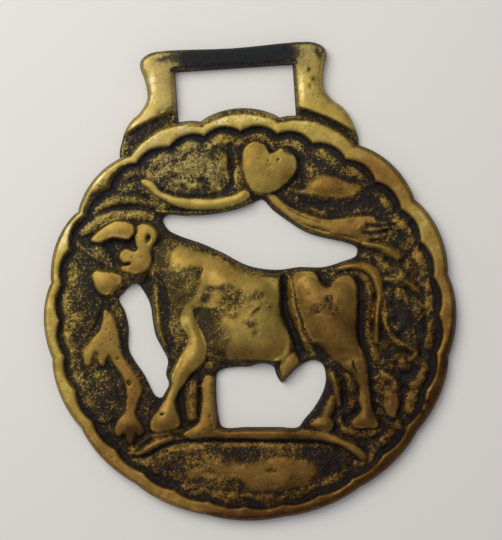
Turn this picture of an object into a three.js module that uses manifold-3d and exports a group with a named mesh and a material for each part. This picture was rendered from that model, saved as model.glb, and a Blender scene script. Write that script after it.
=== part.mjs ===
import * as THREE from "three";
import Module from "manifold-3d";

// Millimetres. The horse brass lies on its flat back at z = 0 with its relief facing +Z,
// and +Y runs from the disc's centre, which is the origin, up through the strap hanger.
const discAcross = 76;
const lobeCount = 16;
const lobeRise = 0.85;
const scallopRise = 0.85;
const rimWidth = 2.85;
const rimThickness = 2.9;
const rimBevel = 0.9;
const fieldThickness = 1.6;
const windowDraft = 0.7;

const slotWidth = 21.6;
const slotRise = 7;
const slotDraft = 0.9;
const legWidth = 5.4;
const barWidth = 3.9;
const footSplay = 5.7;
const cornerFlare = 0.9;
const hangerThickness = 2.5;
const recessWidth = 1;
const recessShift = 1.5;

const barrelHeight = 2.9;
const rumpHeight = 2.7;
const neckHeight = 1.7;
const headHeight = 2.2;
const legHeight = 1.9;
const farLegHeight = 1;
const hoofHeight = 1.5;
const tailHeight = 1.5;
const heartHeight = 1.9;
const swagHeight = 1.3;
const panelHeight = 0.6;
const curtainHeight = 1.3;
const foldHeight = 0.6;
const groundHeight = 1.1;
const cartoucheHeight = 0.9;

// The ornament's free forms are drawn for a disc 76 across and keep their shares of it.
const drawnShare = discAcross / 76;
const discRadius = discAcross / 2;
// Raised forms start this far below the field, so that each joins it.
const sunk = fieldThickness / 3;
const skirt = windowDraft;
const brassColour = 0x9a7a36;

const wasm = await Module();
wasm.setup();

function solidOf(points, triangles) {
  return new wasm.Manifold(
    new wasm.Mesh({
      numProp: 3,
      vertProperties: new Float32Array(points.flat()),
      triVerts: new Uint32Array(triangles.flat()),
    }),
  );
}

// Joins rings of equally many points, each turning counter-clockwise seen from above, from the
// lowest to the highest.
function wallBetween(rings) {
  const count = rings[0].length;
  const triangles = [];
  for (let level = 0; level + 1 < rings.length; level++) {
    for (let i = 0; i < count; i++) {
      const next = (i + 1) % count;
      const low = level * count;
      const high = low + count;
      triangles.push([low + i, low + next, high + next]);
      triangles.push([low + i, high + next, high + i]);
    }
  }
  return triangles;
}

// A solid through rings of any outline, closed flat at the bottom and at the top.
function loft(rings) {
  const count = rings[0].length;
  const top = (rings.length - 1) * count;
  const corners = rings[0].map(([x, y]) => new THREE.Vector2(x, y));
  const triangles = wallBetween(rings);
  for (const [a, b, c] of THREE.ShapeUtils.triangulateShape(corners, [])) {
    triangles.push([a, c, b]);
    triangles.push([top + a, top + b, top + c]);
  }
  return solidOf(rings.flat(), triangles);
}

function smoothed(points, closed, steps) {
  const curve = new THREE.CatmullRomCurve3(
    points.map(([x, y, z = 0]) => new THREE.Vector3(x, y, z)),
    closed,
    "centripetal",
  );
  const spans = closed ? points.length : points.length - 1;
  const along = curve.getPoints(spans * steps);
  if (closed) {
    along.pop();
  }
  return along.map((p) => [p.x, p.y, p.z]);
}

function drawn(points) {
  return points.map(([x, y, ...rest]) => [x * drawnShare, y * drawnShare, ...rest]);
}

function isCounterClockwise(points) {
  const corners = points.map(([x, y]) => new THREE.Vector2(x, y));
  return THREE.ShapeUtils.area(corners) > 0;
}

function outlineOf(points, steps) {
  const outline = smoothed(drawn(points), true, steps);
  return isCounterClockwise(outline) ? outline : outline.reverse();
}

// Moves every point of a counter-clockwise outline outwards along its normal.
function grown(outline, distance) {
  return outline.map(([x, y], i) => {
    const before = outline.at(i - 1);
    const after = outline[(i + 1) % outline.length];
    const along = new THREE.Vector2(after[0] - before[0], after[1] - before[1]).normalize();
    return [x + along.y * distance, y - along.x * distance];
  });
}

function atHeight(outline, z) {
  return outline.map(([x, y]) => [x, y, z]);
}

// A domed form inside a smooth outline that its middle sees all of: a drafted skirt down into
// the field, an edge at a share of the height, and a dome that falls off by the given power.
function boss(points, height, { steps = 2, edge = 0.45, power = 2.4, levels = [0.82, 0.5] } = {}) {
  const outline = outlineOf(points, steps);
  const middle = outline.reduce(([u, v], [x, y]) => [u + x, v + y], [0, 0]);
  const [cx, cy] = middle.map((sum) => sum / outline.length);
  const domeAt = (share) => fieldThickness + height * (edge + (1 - edge) * (1 - share ** power));
  const inward = (share) =>
    outline.map(([x, y]) => [cx + (x - cx) * share, cy + (y - cy) * share, domeAt(share)]);
  const rings = [
    atHeight(grown(outline, skirt), fieldThickness - sunk),
    atHeight(outline, fieldThickness + height * edge),
    ...levels.map(inward),
  ];
  const count = outline.length;
  const last = (rings.length - 1) * count;
  const points3 = rings.flat();
  const foot = points3.push([cx, cy, fieldThickness - sunk]) - 1;
  const crown = points3.push([cx, cy, domeAt(0)]) - 1;
  const triangles = wallBetween(rings);
  for (let i = 0; i < count; i++) {
    const next = (i + 1) % count;
    triangles.push([foot, next, i]);
    triangles.push([crown, last + i, last + next]);
  }
  return solidOf(points3, triangles);
}

// A rounded ridge along stations of [x, y, half width, share of the height].
function ridge(stations, height, { steps = 2, sides = 3, edge = 0.3, foot = skirt } = {}) {
  const spine = smoothed(drawn(stations.map(([x, y]) => [x, y])), false, steps);
  const shape = smoothed(
    stations.map(([, , half, share = 1]) => [half * drawnShare, share]),
    false,
    steps,
  );
  const sections = spine.map(([x, y], i) => {
    const before = spine[Math.max(i - 1, 0)];
    const after = spine[Math.min(i + 1, spine.length - 1)];
    const along = new THREE.Vector2(after[0] - before[0], after[1] - before[1]).normalize();
    const [half, share] = shape[i];
    const across = (distance, z) => [x + along.y * distance, y - along.x * distance, z];
    const low = fieldThickness - sunk;
    const section = [across(-half - foot, low), across(half + foot, low)];
    for (let side = 0; side <= sides; side++) {
      const turn = (Math.PI * side) / sides;
      const lift = edge + (1 - edge) * Math.sin(turn);
      section.push(across(half * Math.cos(turn), fieldThickness + height * share * lift));
    }
    return section;
  });
  const count = sections[0].length;
  const end = (sections.length - 1) * count;
  const triangles = wallBetween(sections).map(([a, b, c]) => [a, c, b]);
  for (let i = 1; i + 1 < count; i++) {
    triangles.push([0, i, i + 1]);
    triangles.push([end, end + i + 1, end + i]);
  }
  return solidOf(sections.flat(), triangles);
}

function joined(solids) {
  return solids.reduce((whole, next) => whole.add(next));
}

// The cusps of the scalloped border, two for each lobe, a little unevenly spaced as in the casting.
function cuspAngle(index) {
  const spacing = 180 / lobeCount;
  const even = 89.5 + spacing * index;
  return THREE.MathUtils.degToRad(even - 2.5 * (1 - Math.cos(THREE.MathUtils.degToRad(even - 120))));
}

function scallopAngles(steps) {
  const angles = [];
  for (let index = 0; index < 2 * lobeCount; index++) {
    for (let step = 0; step < steps; step++) {
      angles.push({ index, share: step / steps });
    }
  }
  return angles.map(({ index, share }) => {
    const from = cuspAngle(index);
    return { index, share, angle: from + (cuspAngle(index + 1) - from) * share };
  });
}

// Each outer lobe spans two inner scallops, and its notches fall on every second cusp. The notches
// are deep at the top and nearly filled at the bottom.
function outerRadius({ index, share, angle }) {
  const across = ((index + 1) % 2) / 2 + share / 2;
  const deeper = lobeRise + 0.6 * drawnShare * Math.sin(angle);
  const crest = discRadius - 0.15 * drawnShare * (1 + Math.sin(angle));
  return crest - deeper * (1 - Math.sin(Math.PI * across) ** 0.7);
}

// The band is broadest at the upper right and narrowest at the lower right.
function innerRadius({ share, angle }) {
  const broader =
    0.68 * Math.sin(angle) +
    0.2 * Math.cos(angle) +
    0.37 * Math.sin(2 * angle) -
    0.12 * Math.cos(2 * angle);
  const deeper = scallopRise + 0.3 * drawnShare * Math.sin(angle);
  const crest = discRadius - rimWidth - broader * drawnShare;
  return crest - deeper * (1 - Math.sin(Math.PI * share) ** 0.8);
}

function ringPoint(radius, angle, z) {
  return [radius * Math.cos(angle), radius * Math.sin(angle), z];
}

// A closed ring whose section is a list of [radius, z] that turns from the outside over the top.
function scallopedRing(sectionAt, steps) {
  const sections = scallopAngles(steps).map((place) =>
    sectionAt(place).map(([radius, z]) => ringPoint(radius, place.angle, z)),
  );
  const count = sections[0].length;
  const triangles = [];
  sections.forEach((section, i) => {
    const here = i * count;
    const there = ((i + 1) % sections.length) * count;
    for (let side = 0; side < count; side++) {
      const next = (side + 1) % count;
      triangles.push([here + side, there + side, there + next]);
      triangles.push([here + side, there + next, here + next]);
    }
  });
  return solidOf(sections.flat(), triangles);
}

function rim() {
  return scallopedRing((place) => {
    const outside = outerRadius(place);
    const inside = innerRadius(place);
    return [
      [outside, 0],
      [outside - rimBevel, rimThickness * 0.93],
      [(outside + inside) / 2, rimThickness],
      [inside + 0.25 * rimBevel, rimThickness * 0.9],
      [inside, fieldThickness - sunk],
      [inside, 0],
    ];
  }, 3);
}

function field() {
  const edge = new THREE.Path().absarc(0, 0, discRadius - rimWidth * 0.6).getPoints(32);
  edge.pop();
  const outline = edge.map(({ x, y }) => [x, y]);
  return loft([atHeight(outline, 0), atHeight(outline, fieldThickness)]);
}

// The hanger's outline on one side, as shares of the foot's splay or the corner's flare, and of
// the height from the disc's edge to the top.
function hangerSide(side) {
  const waist = slotWidth / 2 + legWidth;
  const rise = slotRise + barWidth;
  const foot = waist + footSplay;
  const footDrop = discRadius - Math.sqrt(discRadius ** 2 - foot ** 2);
  const splayed = [
    [1, 1.3],
    [1, 1],
    [0.9, 0.72],
    [0.76, 0.42],
    [0.53, 0.17],
    [0.27, 0],
  ];
  const flared = [
    [0, 0.22],
    [0, 0.42],
    [0.45, 0.6],
    [1, 0.76],
    [0.75, 0.88],
    [-0.4, 0.96],
    [-2.5, 1.01],
  ];
  return [
    ...splayed.map(([x, y]) => [side * (waist + footSplay * x), discRadius - footDrop * y]),
    ...flared.map(([x, y]) => [side * (waist + cornerFlare * x), discRadius + rise * y]),
  ];
}

function hanger() {
  const right = hangerSide(1);
  const left = hangerSide(-1).reverse();
  const dip = [[0, discRadius + (slotRise + barWidth) * 0.985]];
  const silhouette = smoothed([...right, ...dip, ...left], false, 2);
  const web = [...silhouette, [0, discRadius - 2 * rimWidth]];
  const blank = loft([
    atHeight(web, 0),
    atHeight(grown(web, -0.25 * slotDraft), fieldThickness),
  ]);
  const raised = loft([
    atHeight(grown(web, -0.25 * slotDraft), fieldThickness - sunk),
    atHeight(grown(web, -0.5 * slotDraft), hangerThickness - 0.3 * slotDraft),
    atHeight(grown(web, -slotDraft), hangerThickness),
  ]);
  const recess = new THREE.Path().absarc(-recessShift, 0, discRadius + recessWidth).getPoints(32);
  recess.pop();
  const recessOutline = recess.map(({ x, y }) => [x, y]);
  const cleared = raised.subtract(
    loft([atHeight(recessOutline, 0), atHeight(recessOutline, 2 * hangerThickness)]),
  );
  return blank.add(cleared).subtract(slot());
}

// The strap's slot, flat along its top, wider at the front by its draft.
function slot() {
  const half = slotWidth / 2;
  const top = discRadius + slotRise;
  const bottom = discRadius - rimWidth;
  const corners = [
    [-half, bottom],
    [half, bottom],
    [half, top],
    [-half, top],
  ];
  const wider = [
    [-half - slotDraft, bottom],
    [half + slotDraft, bottom],
    [half + slotDraft, top + slotDraft],
    [-half - slotDraft, top + slotDraft],
  ];
  return loft([
    atHeight(corners, -1),
    atHeight(corners, hangerThickness * 0.35),
    atHeight(wider, hangerThickness),
    atHeight(wider, 2 * hangerThickness),
  ]);
}

function window(points) {
  const outline = outlineOf(points, 2);
  const wider = grown(outline, windowDraft * drawnShare);
  return loft([
    atHeight(outline, -1),
    atHeight(outline, 0),
    atHeight(wider, fieldThickness * 1.1),
    atHeight(wider, 4 * rimThickness),
  ]);
}

const skyWindow = [
  [-14.8, 18.2], [-13.9, 16.3], [-12, 15.1], [-8, 13.4], [-4, 11.3], [-2, 10], [0, 8.9], [2.5, 8.1],
  [6, 7.65], [9.5, 7.9], [14, 7.6], [17.5, 8.4], [20.1, 9.3], [20.3, 10.7], [18.4, 11.8], [14, 13.1],
  [11.2, 14.2], [8, 16.5], [5.4, 18.7], [3.6, 20.7], [2.4, 20.4], [0, 19.5], [-3, 18.9], [-7, 18.55],
  [-11, 18.7], [-13.8, 19],
];
const neckWindow = [
  [-23.8, 4.3], [-22.8, 5.4], [-21.4, 6.6], [-20.3, 6.8], [-18.9, 4.8], [-18.1, 2.6], [-17.9, 0],
  [-17.5, -3], [-16.4, -5.5], [-15.6, -7.6], [-16.1, -10.1], [-15.7, -11.9], [-16.5, -13.4],
  [-17.2, -14.3], [-18.3, -13.9], [-19.2, -12], [-20.2, -9.7], [-21.7, -7.2], [-22.6, -5], [-22.4, -1],
  [-22.9, 2],
];
const bellyWindow = [
  [-7, -12], [-6.6, -10.4], [-5.4, -9.8], [-3, -9.6], [-0.8, -9.7], [1, -9.3], [2.6, -9.4], [3.7, -10.1],
  [4.1, -11.6], [5, -13], [6.1, -12.2], [8, -10.5], [10.8, -9.3], [12.6, -10.1], [13.1, -12.6],
  [12.5, -15], [10.6, -18], [8.6, -20.1], [7.4, -21.4], [4, -21.15], [-2, -20.75], [-6.4, -20.4],
  [-7, -18.5],
];

function drapery() {
  const leftPanel = [
    [-17, 26.6], [-14.5, 29.8], [-10, 31.4], [-5, 31.2], [-2.3, 28.5], [-2.3, 24.4], [-5, 22.8],
    [-9, 22.7], [-14, 24],
  ];
  const rightPanel = [
    [10.9, 25.5], [14, 27.6], [19, 26], [23, 22.8], [25.6, 18.8], [22, 17.4], [15, 18.5], [10.9, 21.5],
  ];
  const rightPatch = [
    [10.7, 21.8], [12.2, 23.4], [14.6, 24.2], [17, 23.7], [20, 21], [17.5, 20], [13, 20.6],
  ];
  const leftSwag = [
    [-18.1, 25.5, 0.2, 0.3], [-16.2, 24.6, 0.7], [-13.6, 22.3, 0.85], [-10, 20.8, 0.75],
    [-6, 20.4, 0.7], [-2.5, 20.6, 0.7], [0.8, 21.8, 0.8],
  ];
  const rightSwagLow = [
    [5, 20.9, 0.6], [6.5, 19.3, 0.8], [8.6, 17.5, 0.8], [11, 15.9, 0.75], [14, 14.4, 0.7],
    [17.5, 13.1, 0.7], [21, 12, 0.7], [24, 10.9, 0.5, 0.7],
  ];
  const rightSwagHigh = [
    [7, 20.3, 0.3, 0.7], [9.6, 18.1, 0.5], [12, 16.7, 0.6], [15, 15.7, 0.6], [19, 15.3, 0.6],
    [23.4, 15.6, 0.4, 0.6],
  ];
  const rightSwagFan = [
    [14, 15.1, 0.3, 0.5], [18, 14.1, 0.5, 0.8], [22, 13.6, 0.5, 0.8], [26.6, 14.4, 0.4, 0.5],
  ];
  const heart = [
    [0.5, 27.6], [0.9, 30.1], [2.8, 31.3], [4.6, 30.6], [5.6, 28.9], [7.8, 29.7], [9.9, 28.3], [10.2, 26],
    [8.2, 23.4], [5, 21.8], [2.3, 22.1], [0.8, 24.4],
  ];
  return [
    boss(leftPanel, panelHeight, { edge: 0.5 }),
    boss(rightPanel, panelHeight * 0.6, { edge: 0.5, levels: [0.6] }),
    boss(rightPatch, panelHeight * 1.6, { edge: 0.7, levels: [0.6] }),
    ridge(leftSwag, swagHeight),
    ridge(rightSwagLow, swagHeight),
    ridge(rightSwagHigh, swagHeight * 0.8),
    ridge(rightSwagFan, swagHeight * 0.7, { steps: 1, sides: 2 }),
    boss(heart, heartHeight, { edge: 0.6, levels: [0.85, 0.5] }),
  ];
}

function leftCurtain() {
  const band = [
    [-26.9, 1.6, 0.5, 0.4], [-26, -0.4, 1], [-26.2, -2.8, 1.8], [-26.6, -4.4, 2.6], [-24.7, -7.4, 1.3],
    [-22.9, -10, 1.2], [-21.9, -12.6, 1.2], [-22.6, -15.2, 1], [-23.6, -17.6, 1], [-24.9, -19.9, 0.7, 0.7],
  ];
  const frontToe = [
    [-23.4, -18, 0.5, 0.7], [-23.4, -20, 0.5, 0.6], [-23.1, -21.9, 0.4, 0.4],
  ];
  const backToe = [
    [-22.8, -18, 0.5, 0.6], [-22, -19.3, 0.5, 0.6], [-21.4, -20.4, 0.4, 0.4],
  ];
  const sideKnot = [
    [-30.6, -4.4], [-29.2, -3.3], [-27.9, -4.6], [-27.9, -6.9], [-29.2, -7.9], [-30.5, -6.8],
  ];
  const upperBunch = [
    [-33, 7], [-31, 9.9], [-28.6, 8], [-27.2, 4], [-28.6, 0.4], [-30.6, -2], [-32.8, -0.8], [-33.6, 3],
  ];
  const lowerBunch = [
    [-32, -9], [-28.5, -8.6], [-25.4, -11], [-24.8, -14.6], [-26.2, -17.4], [-28.8, -18.6],
    [-31, -15.6], [-32.4, -12.4],
  ];
  const folds = [
    [[-19, 22.6, 0.6, 0.5], [-24, 22.2, 0.7], [-29.4, 19.2, 0.6, 0.6]],
    [[-18.4, 24.6, 0.5, 0.5], [-22, 25, 0.6], [-26.6, 23.6, 0.5, 0.6]],
    [[-18.6, 20.3, 0.6, 0.6], [-24, 20, 0.7], [-29.6, 16.8, 0.6, 0.6]],
    [[-30.6, 14.9, 0.9, 0.7], [-27.2, 13, 1.2], [-25.6, 11.6, 0.7, 0.6]],
  ];
  return [
    boss(upperBunch, foldHeight * 1.2, { steps: 1 }),
    boss(lowerBunch, foldHeight * 1.1, { steps: 1 }),
    ridge(band, curtainHeight),
    ridge(frontToe, curtainHeight, { steps: 1, sides: 2 }),
    ridge(backToe, curtainHeight, { steps: 1, sides: 2 }),
    boss(sideKnot, curtainHeight * 0.8, { steps: 1, levels: [0.6] }),
    ...folds.map((fold) => ridge(fold, foldHeight, { steps: 1, sides: 2 })),
  ];
}

function rightCurtain() {
  const leaf = [
    [24.6, 10.6, 0.4, 0.6], [26.4, 9.3, 0.7], [28.2, 8, 0.6], [28.9, 6.3, 0.4, 0.7],
  ];
  const blade = [
    [25.2, 4.6, 0.4, 0.7], [27.6, 4.2, 0.5], [29.6, 3.3, 0.55], [31, 1.9, 0.3, 0.6],
  ];
  const knot = [
    [24.8, -2.4], [26.2, -0.9], [28, -2], [28, -4.4], [26.4, -5.3], [24.9, -4.4],
  ];
  const bulge = [
    [27.4, 2.6], [30.2, 1], [31.4, -3], [30.6, -7.4], [28.4, -7.6], [27.2, -3],
  ];
  const rope = [
    [25.6, 3, 0.6, 0.6], [25.4, 0.4, 0.6, 0.8], [25, -2.6, 0.6, 0.8], [25.7, -5.2, 0.6, 0.8],
    [27, -7.4, 0.7], [29.6, -8.4, 0.6, 0.6],
  ];
  const tassel = [
    [24.3, -16.7], [25.6, -17.2], [26.2, -18.8], [25.3, -20.3], [24.2, -19.9], [23.2, -18.6],
  ];
  const tasselNeck = [
    [23.9, -12.6, 0.6, 0.6], [25.2, -14.4, 0.8, 0.8], [25.2, -16, 0.8],
  ];
  const lowerFold = [
    [22.6, -8, 0.5, 0.7], [22.7, -11, 0.6, 0.7], [22.7, -14.6, 0.7], [22.5, -18.6, 0.4, 0.7],
    [23.2, -21.2, 0.5, 0.7], [25.8, -22.3, 0.5, 0.6],
  ];
  return [
    ridge(leaf, curtainHeight, { sides: 3 }),
    ridge(blade, curtainHeight, { sides: 3 }),
    boss(bulge, foldHeight, { steps: 1, levels: [0.6] }),
    boss(knot, foldHeight * 1.3, { steps: 1, levels: [0.6] }),
    ridge(rope, foldHeight * 1.4, { steps: 1, sides: 2 }),
    ridge(tasselNeck, foldHeight * 1.4, { sides: 3 }),
    boss(tassel, curtainHeight, { steps: 1, levels: [0.6] }),
    ridge(lowerFold, foldHeight * 1.3, { steps: 1, sides: 2 }),
  ];
}

function bullBody() {
  const barrel = [
    [-12.6, 13.3], [-8, 11.9], [-4, 10], [0, 7.4], [3, 6.4], [5.6, 6], [5.2, 3], [5.2, 0], [6.4, -3],
    [7.2, -6], [5.4, -8.8], [1, -8.6], [-4, -8], [-8.5, -6.5], [-9.6, -2], [-9, 3], [-12.6, 8.5],
    [-14, 11],
  ];
  const chest = [
    [-17, 6.4], [-15, 8.8], [-10, 8], [-8, 3], [-10, -4], [-13.6, -7.6], [-15.7, -5.4], [-16.9, -1.6],
    [-17.3, 2.6],
  ];
  const rump = [
    [8.4, 4], [9.2, 6.7], [11.6, 6.6], [13.2, 4.7], [14.6, 3.8], [16.4, 5.3], [18.6, 5.7], [19.6, 3],
    [19.4, -1], [19.2, -5], [19.7, -9], [18.6, -11.4], [15.4, -9.6], [13.2, -7], [10.6, -5.2], [9.7, -2],
    [9.1, 1],
  ];
  const sheath = [[6.6, -9.2, 1.6, 0.9], [5.7, -10.8, 0.9, 0.8], [5.3, -12.1, 0.4, 0.7]];
  const flank = [
    [7.7, 4.4, 0.4, 0.8], [7.9, 1, 0.45], [8.6, -2.5, 0.5], [9.6, -6, 0.5], [11.6, -8.6, 0.6, 0.8],
  ];
  const dewlap = [
    [-17.3, 6.2, 0.4, 0.6], [-16.9, 3, 0.35], [-16.8, 0, 0.3], [-16.4, -3, 0.35], [-15.3, -6, 0.4, 0.6],
  ];
  return [
    boss(chest, neckHeight, { edge: 0.6, levels: [0.7] }),
    boss(barrel, barrelHeight, { edge: 0.5, levels: [0.84, 0.5] }),
    boss(rump, rumpHeight, { edge: 0.5, levels: [0.82, 0.5] }),
    ridge(sheath, farLegHeight * 1.4, { sides: 3, foot: 0.3 * skirt }),
    ridge(flank, farLegHeight, { steps: 1, sides: 2 }),
    ridge(dewlap, neckHeight, { steps: 1, sides: 2 }),
  ];
}

function bullHead() {
  const skull = [
    [-20, 15.2], [-18.8, 17.1], [-17, 17], [-16.3, 15.4], [-17, 13.4], [-17.6, 11.4], [-18.1, 9.5],
    [-20.3, 8.9], [-22.4, 9.8], [-22.6, 12.4], [-21.3, 13.2], [-20, 13],
  ];
  const horn = [
    [-27.6, 15.6, 0.15, 0.5], [-25.8, 16, 0.6], [-23.6, 16.8, 1.2], [-21.6, 16.7, 1.3],
    [-20, 16.3, 0.7, 0.9],
  ];
  const muzzle = [
    [-28.1, 8.8], [-26.4, 9.5], [-23.4, 8.6], [-22.9, 7.5], [-24.3, 6.4], [-25.9, 5.3], [-27.4, 6.4],
  ];
  const jaw = [
    [-19.4, 8.4, 0.8, 0.5], [-21.6, 8.2, 0.9, 0.6], [-23.8, 8, 0.8, 0.6],
  ];
  return [
    ridge(jaw, headHeight, { sides: 3 }),
    boss(skull, headHeight, { edge: 0.65, levels: [0.8, 0.4] }),
    ridge(horn, headHeight, { edge: 0.5 }),
    boss(muzzle, headHeight * 0.95, { edge: 0.5, levels: [0.6] }),
  ];
}

function bullLegs() {
  const nearFore = [
    [-10.6, 2.6, 0.5, 0.6], [-11.6, 0.6, 1], [-11.5, -1.6, 1.2], [-10.6, -3.4, 1.2], [-10, -5.2, 1.6],
    [-10.7, -7, 1.9], [-12, -8.8, 1.8], [-13.2, -10.8, 1.7], [-14, -13, 1.3], [-14.9, -14.9, 1],
    [-15.9, -16.9, 1.1],
  ];
  const nearForeHoof = [
    [-16.8, -16.9], [-18.3, -17.6], [-19.3, -19.3], [-18.3, -20.2], [-15.4, -20], [-14.2, -18.8],
    [-14.9, -17.2],
  ];
  const farFore = [
    [-8.4, -10.8, 0.4, 0.7], [-8.8, -12.6, 0.9], [-8.9, -15, 1], [-9, -17.6, 1.2], [-9.8, -19.8, 1.9],
    [-10.4, -21, 2.2],
  ];
  const farForeFold = [
    [-10.9, -11.6, 0.4, 0.6], [-11.6, -13.6, 0.8], [-11.8, -16, 0.9], [-11.8, -18.2, 0.6, 0.7],
  ];
  const nearHind = [
    [16.6, -8.6, 2, 0.8], [18.4, -10.8, 1.5], [19.5, -13, 1], [19.9, -15.4, 0.7], [20, -18, 0.8],
    [20.4, -20, 1],
  ];
  const nearHindHoof = [
    [17.2, -21.4], [18.4, -20.2], [21.1, -19.9], [21.9, -21.6], [20.6, -22.3], [18.4, -22],
  ];
  const farHind = [
    [13.9, -11.6, 0.5, 0.8], [14.5, -13.6, 0.5], [14.5, -15.4, 0.6], [13.6, -17.4, 0.7],
    [12.6, -19.6, 0.7, 0.8],
  ];
  const farHindHoof = [
    [9.8, -20.9], [11, -19.9], [13.2, -20], [13.7, -21.6], [12.6, -22.3], [10.8, -21.8],
  ];
  const hindFold = [
    [17.4, -12.4, 0.5, 0.7], [17.6, -15, 0.7], [17.6, -18, 0.6, 0.8], [15.9, -20, 0.5, 0.6],
    [16.4, -22.4, 0.5, 0.6], [19.4, -23.3, 0.5, 0.6], [22, -23, 0.4, 0.5],
  ];
  return [
    ridge(farFore, farLegHeight * 1.3),
    ridge(farForeFold, farLegHeight, { sides: 3 }),
    ridge(farHind, farLegHeight * 1.2, { sides: 3 }),
    boss(farHindHoof, hoofHeight * 0.9, { steps: 1, levels: [0.6] }),
    ridge(nearFore, legHeight),
    boss(nearForeHoof, hoofHeight, { levels: [0.6] }),
    ridge(nearHind, legHeight),
    boss(nearHindHoof, hoofHeight, { steps: 1, levels: [0.6] }),
    ridge(hindFold, farLegHeight * 0.9, { steps: 1, sides: 2 }),
  ];
}

function bullTail() {
  const dock = [
    [16.8, 7.2, 0.2, 0.5], [19, 7.3, 0.5], [21, 7.2, 0.8], [22.6, 6, 0.85], [23.5, 4.2, 0.7],
    [23.7, 2, 0.45], [23.3, -0.6, 0.3], [22.7, -3.4, 0.3], [22.5, -6.6, 0.4, 0.8],
  ];
  const inner = [
    [18.2, 6.2, 0.3, 0.6], [20.4, 5.8, 0.4], [21.8, 4, 0.45], [21.9, 1, 0.4], [21.5, -3, 0.4],
    [21.2, -6, 0.4], [22.1, -9.4, 0.4, 0.7],
  ];
  return [ridge(dock, tailHeight), ridge(inner, tailHeight * 0.7, { steps: 1, sides: 2 })];
}

function ground() {
  const bar = [
    [-12.2, -21.4, 0.4, 0.8], [-9, -21.5, 0.6], [-4, -21.8, 0.8], [2, -22.3, 0.9], [8, -22.8, 0.9],
    [12, -23.4, 0.8], [15, -24.8, 0.8], [17.5, -26.4, 0.9], [18.8, -27.3, 0.7, 0.9],
  ];
  const leftBar = [
    [-21.9, -24.6, 0.3, 0.6], [-20.4, -23.6, 0.5], [-18.4, -22.5, 0.5], [-15.8, -22, 0.3, 0.6],
  ];
  const leftLine = [
    [-23.4, -23.6, 0.3, 0.6], [-21.4, -22.3, 0.3], [-19.8, -21.1, 0.3], [-17, -20.9, 0.3, 0.7],
    [-15, -20.5, 0.3, 0.6],
  ];
  const cartouche = [
    [-20.8, -26.8], [-16, -24.4], [-10, -23.3], [-2, -23.7], [6, -24.4], [12, -25.4], [16.4, -28],
    [13.4, -29.7], [8.6, -31.6], [3, -32.8], [-2.4, -32.2], [-8, -31.2], [-14, -29.8],
  ];
  return [
    boss(cartouche, cartoucheHeight, { edge: 0.35, power: 2, levels: [0.75, 0.4] }),
    ridge(bar, groundHeight),
    ridge(leftBar, groundHeight * 0.9, { sides: 3 }),
    ridge(leftLine, groundHeight * 0.7, { steps: 1, sides: 2 }),
  ];
}

function horseBrass() {
  const windows = [skyWindow, neckWindow, bellyWindow];
  const plate = joined([field(), rim(), hanger()]);
  const relief = joined([
    ...drapery(),
    ...leftCurtain(),
    ...rightCurtain(),
    ...bullBody(),
    ...bullTail(),
    ...bullLegs(),
    ...bullHead(),
    ...ground(),
  ]);
  return windows.reduce((whole, points) => whole.subtract(window(points)), plate.add(relief));
}

function geometryOf(solid) {
  const { vertProperties, triVerts } = solid.getMesh();
  const geometry = new THREE.BufferGeometry();
  geometry.setAttribute("position", new THREE.BufferAttribute(vertProperties, 3));
  geometry.setIndex(new THREE.BufferAttribute(triVerts, 1));
  geometry.computeVertexNormals();
  return geometry;
}

const brass = new THREE.MeshStandardMaterial({
  color: brassColour,
  roughness: 0.42,
  metalness: 1,
  flatShading: true,
});
const casting = new THREE.Mesh(geometryOf(horseBrass()), brass);
casting.name = "horse_brass";

const part = new THREE.Group();
part.add(casting);

export default part;
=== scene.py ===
import math
import bpy
import numpy as np
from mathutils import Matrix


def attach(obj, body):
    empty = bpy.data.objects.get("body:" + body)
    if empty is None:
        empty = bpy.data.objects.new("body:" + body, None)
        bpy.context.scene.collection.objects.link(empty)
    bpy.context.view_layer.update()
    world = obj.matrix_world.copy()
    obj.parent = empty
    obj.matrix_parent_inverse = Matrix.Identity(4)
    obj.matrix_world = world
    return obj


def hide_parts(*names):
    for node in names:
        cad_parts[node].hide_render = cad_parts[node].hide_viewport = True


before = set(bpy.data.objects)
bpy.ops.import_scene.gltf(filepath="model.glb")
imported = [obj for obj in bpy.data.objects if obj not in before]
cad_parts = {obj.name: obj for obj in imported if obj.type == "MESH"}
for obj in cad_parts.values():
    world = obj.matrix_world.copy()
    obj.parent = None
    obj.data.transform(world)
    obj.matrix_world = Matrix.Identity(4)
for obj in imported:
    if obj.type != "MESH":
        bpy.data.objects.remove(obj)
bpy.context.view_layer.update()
mm = 0.001

# The casting is worked out on one fine grid seen from above, in millimetres, then cut to its outline.
casting = {
    "spacing": 0.232,
    "left": -38.9,
    "low": -38.9,
    "across": 77.8,
    "tall": 88.6,
    "fieldTop": 1.6,
    "edgeStart": 0.35,
    "edgeRound": 0.85,
    "softening": 0.11,
    "proudest": 0.45,
    "backFinish": (0.34, 0.5, 0.42, 0.5),
    "seed": 11,
}
columns = round(casting["across"] / casting["spacing"])
rows = round(casting["tall"] / casting["spacing"])


def deselectAll():
    if bpy.context.object and bpy.context.object.mode != "OBJECT":
        bpy.ops.object.mode_set(mode="OBJECT")
    bpy.ops.object.select_all(action="DESELECT")


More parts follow.
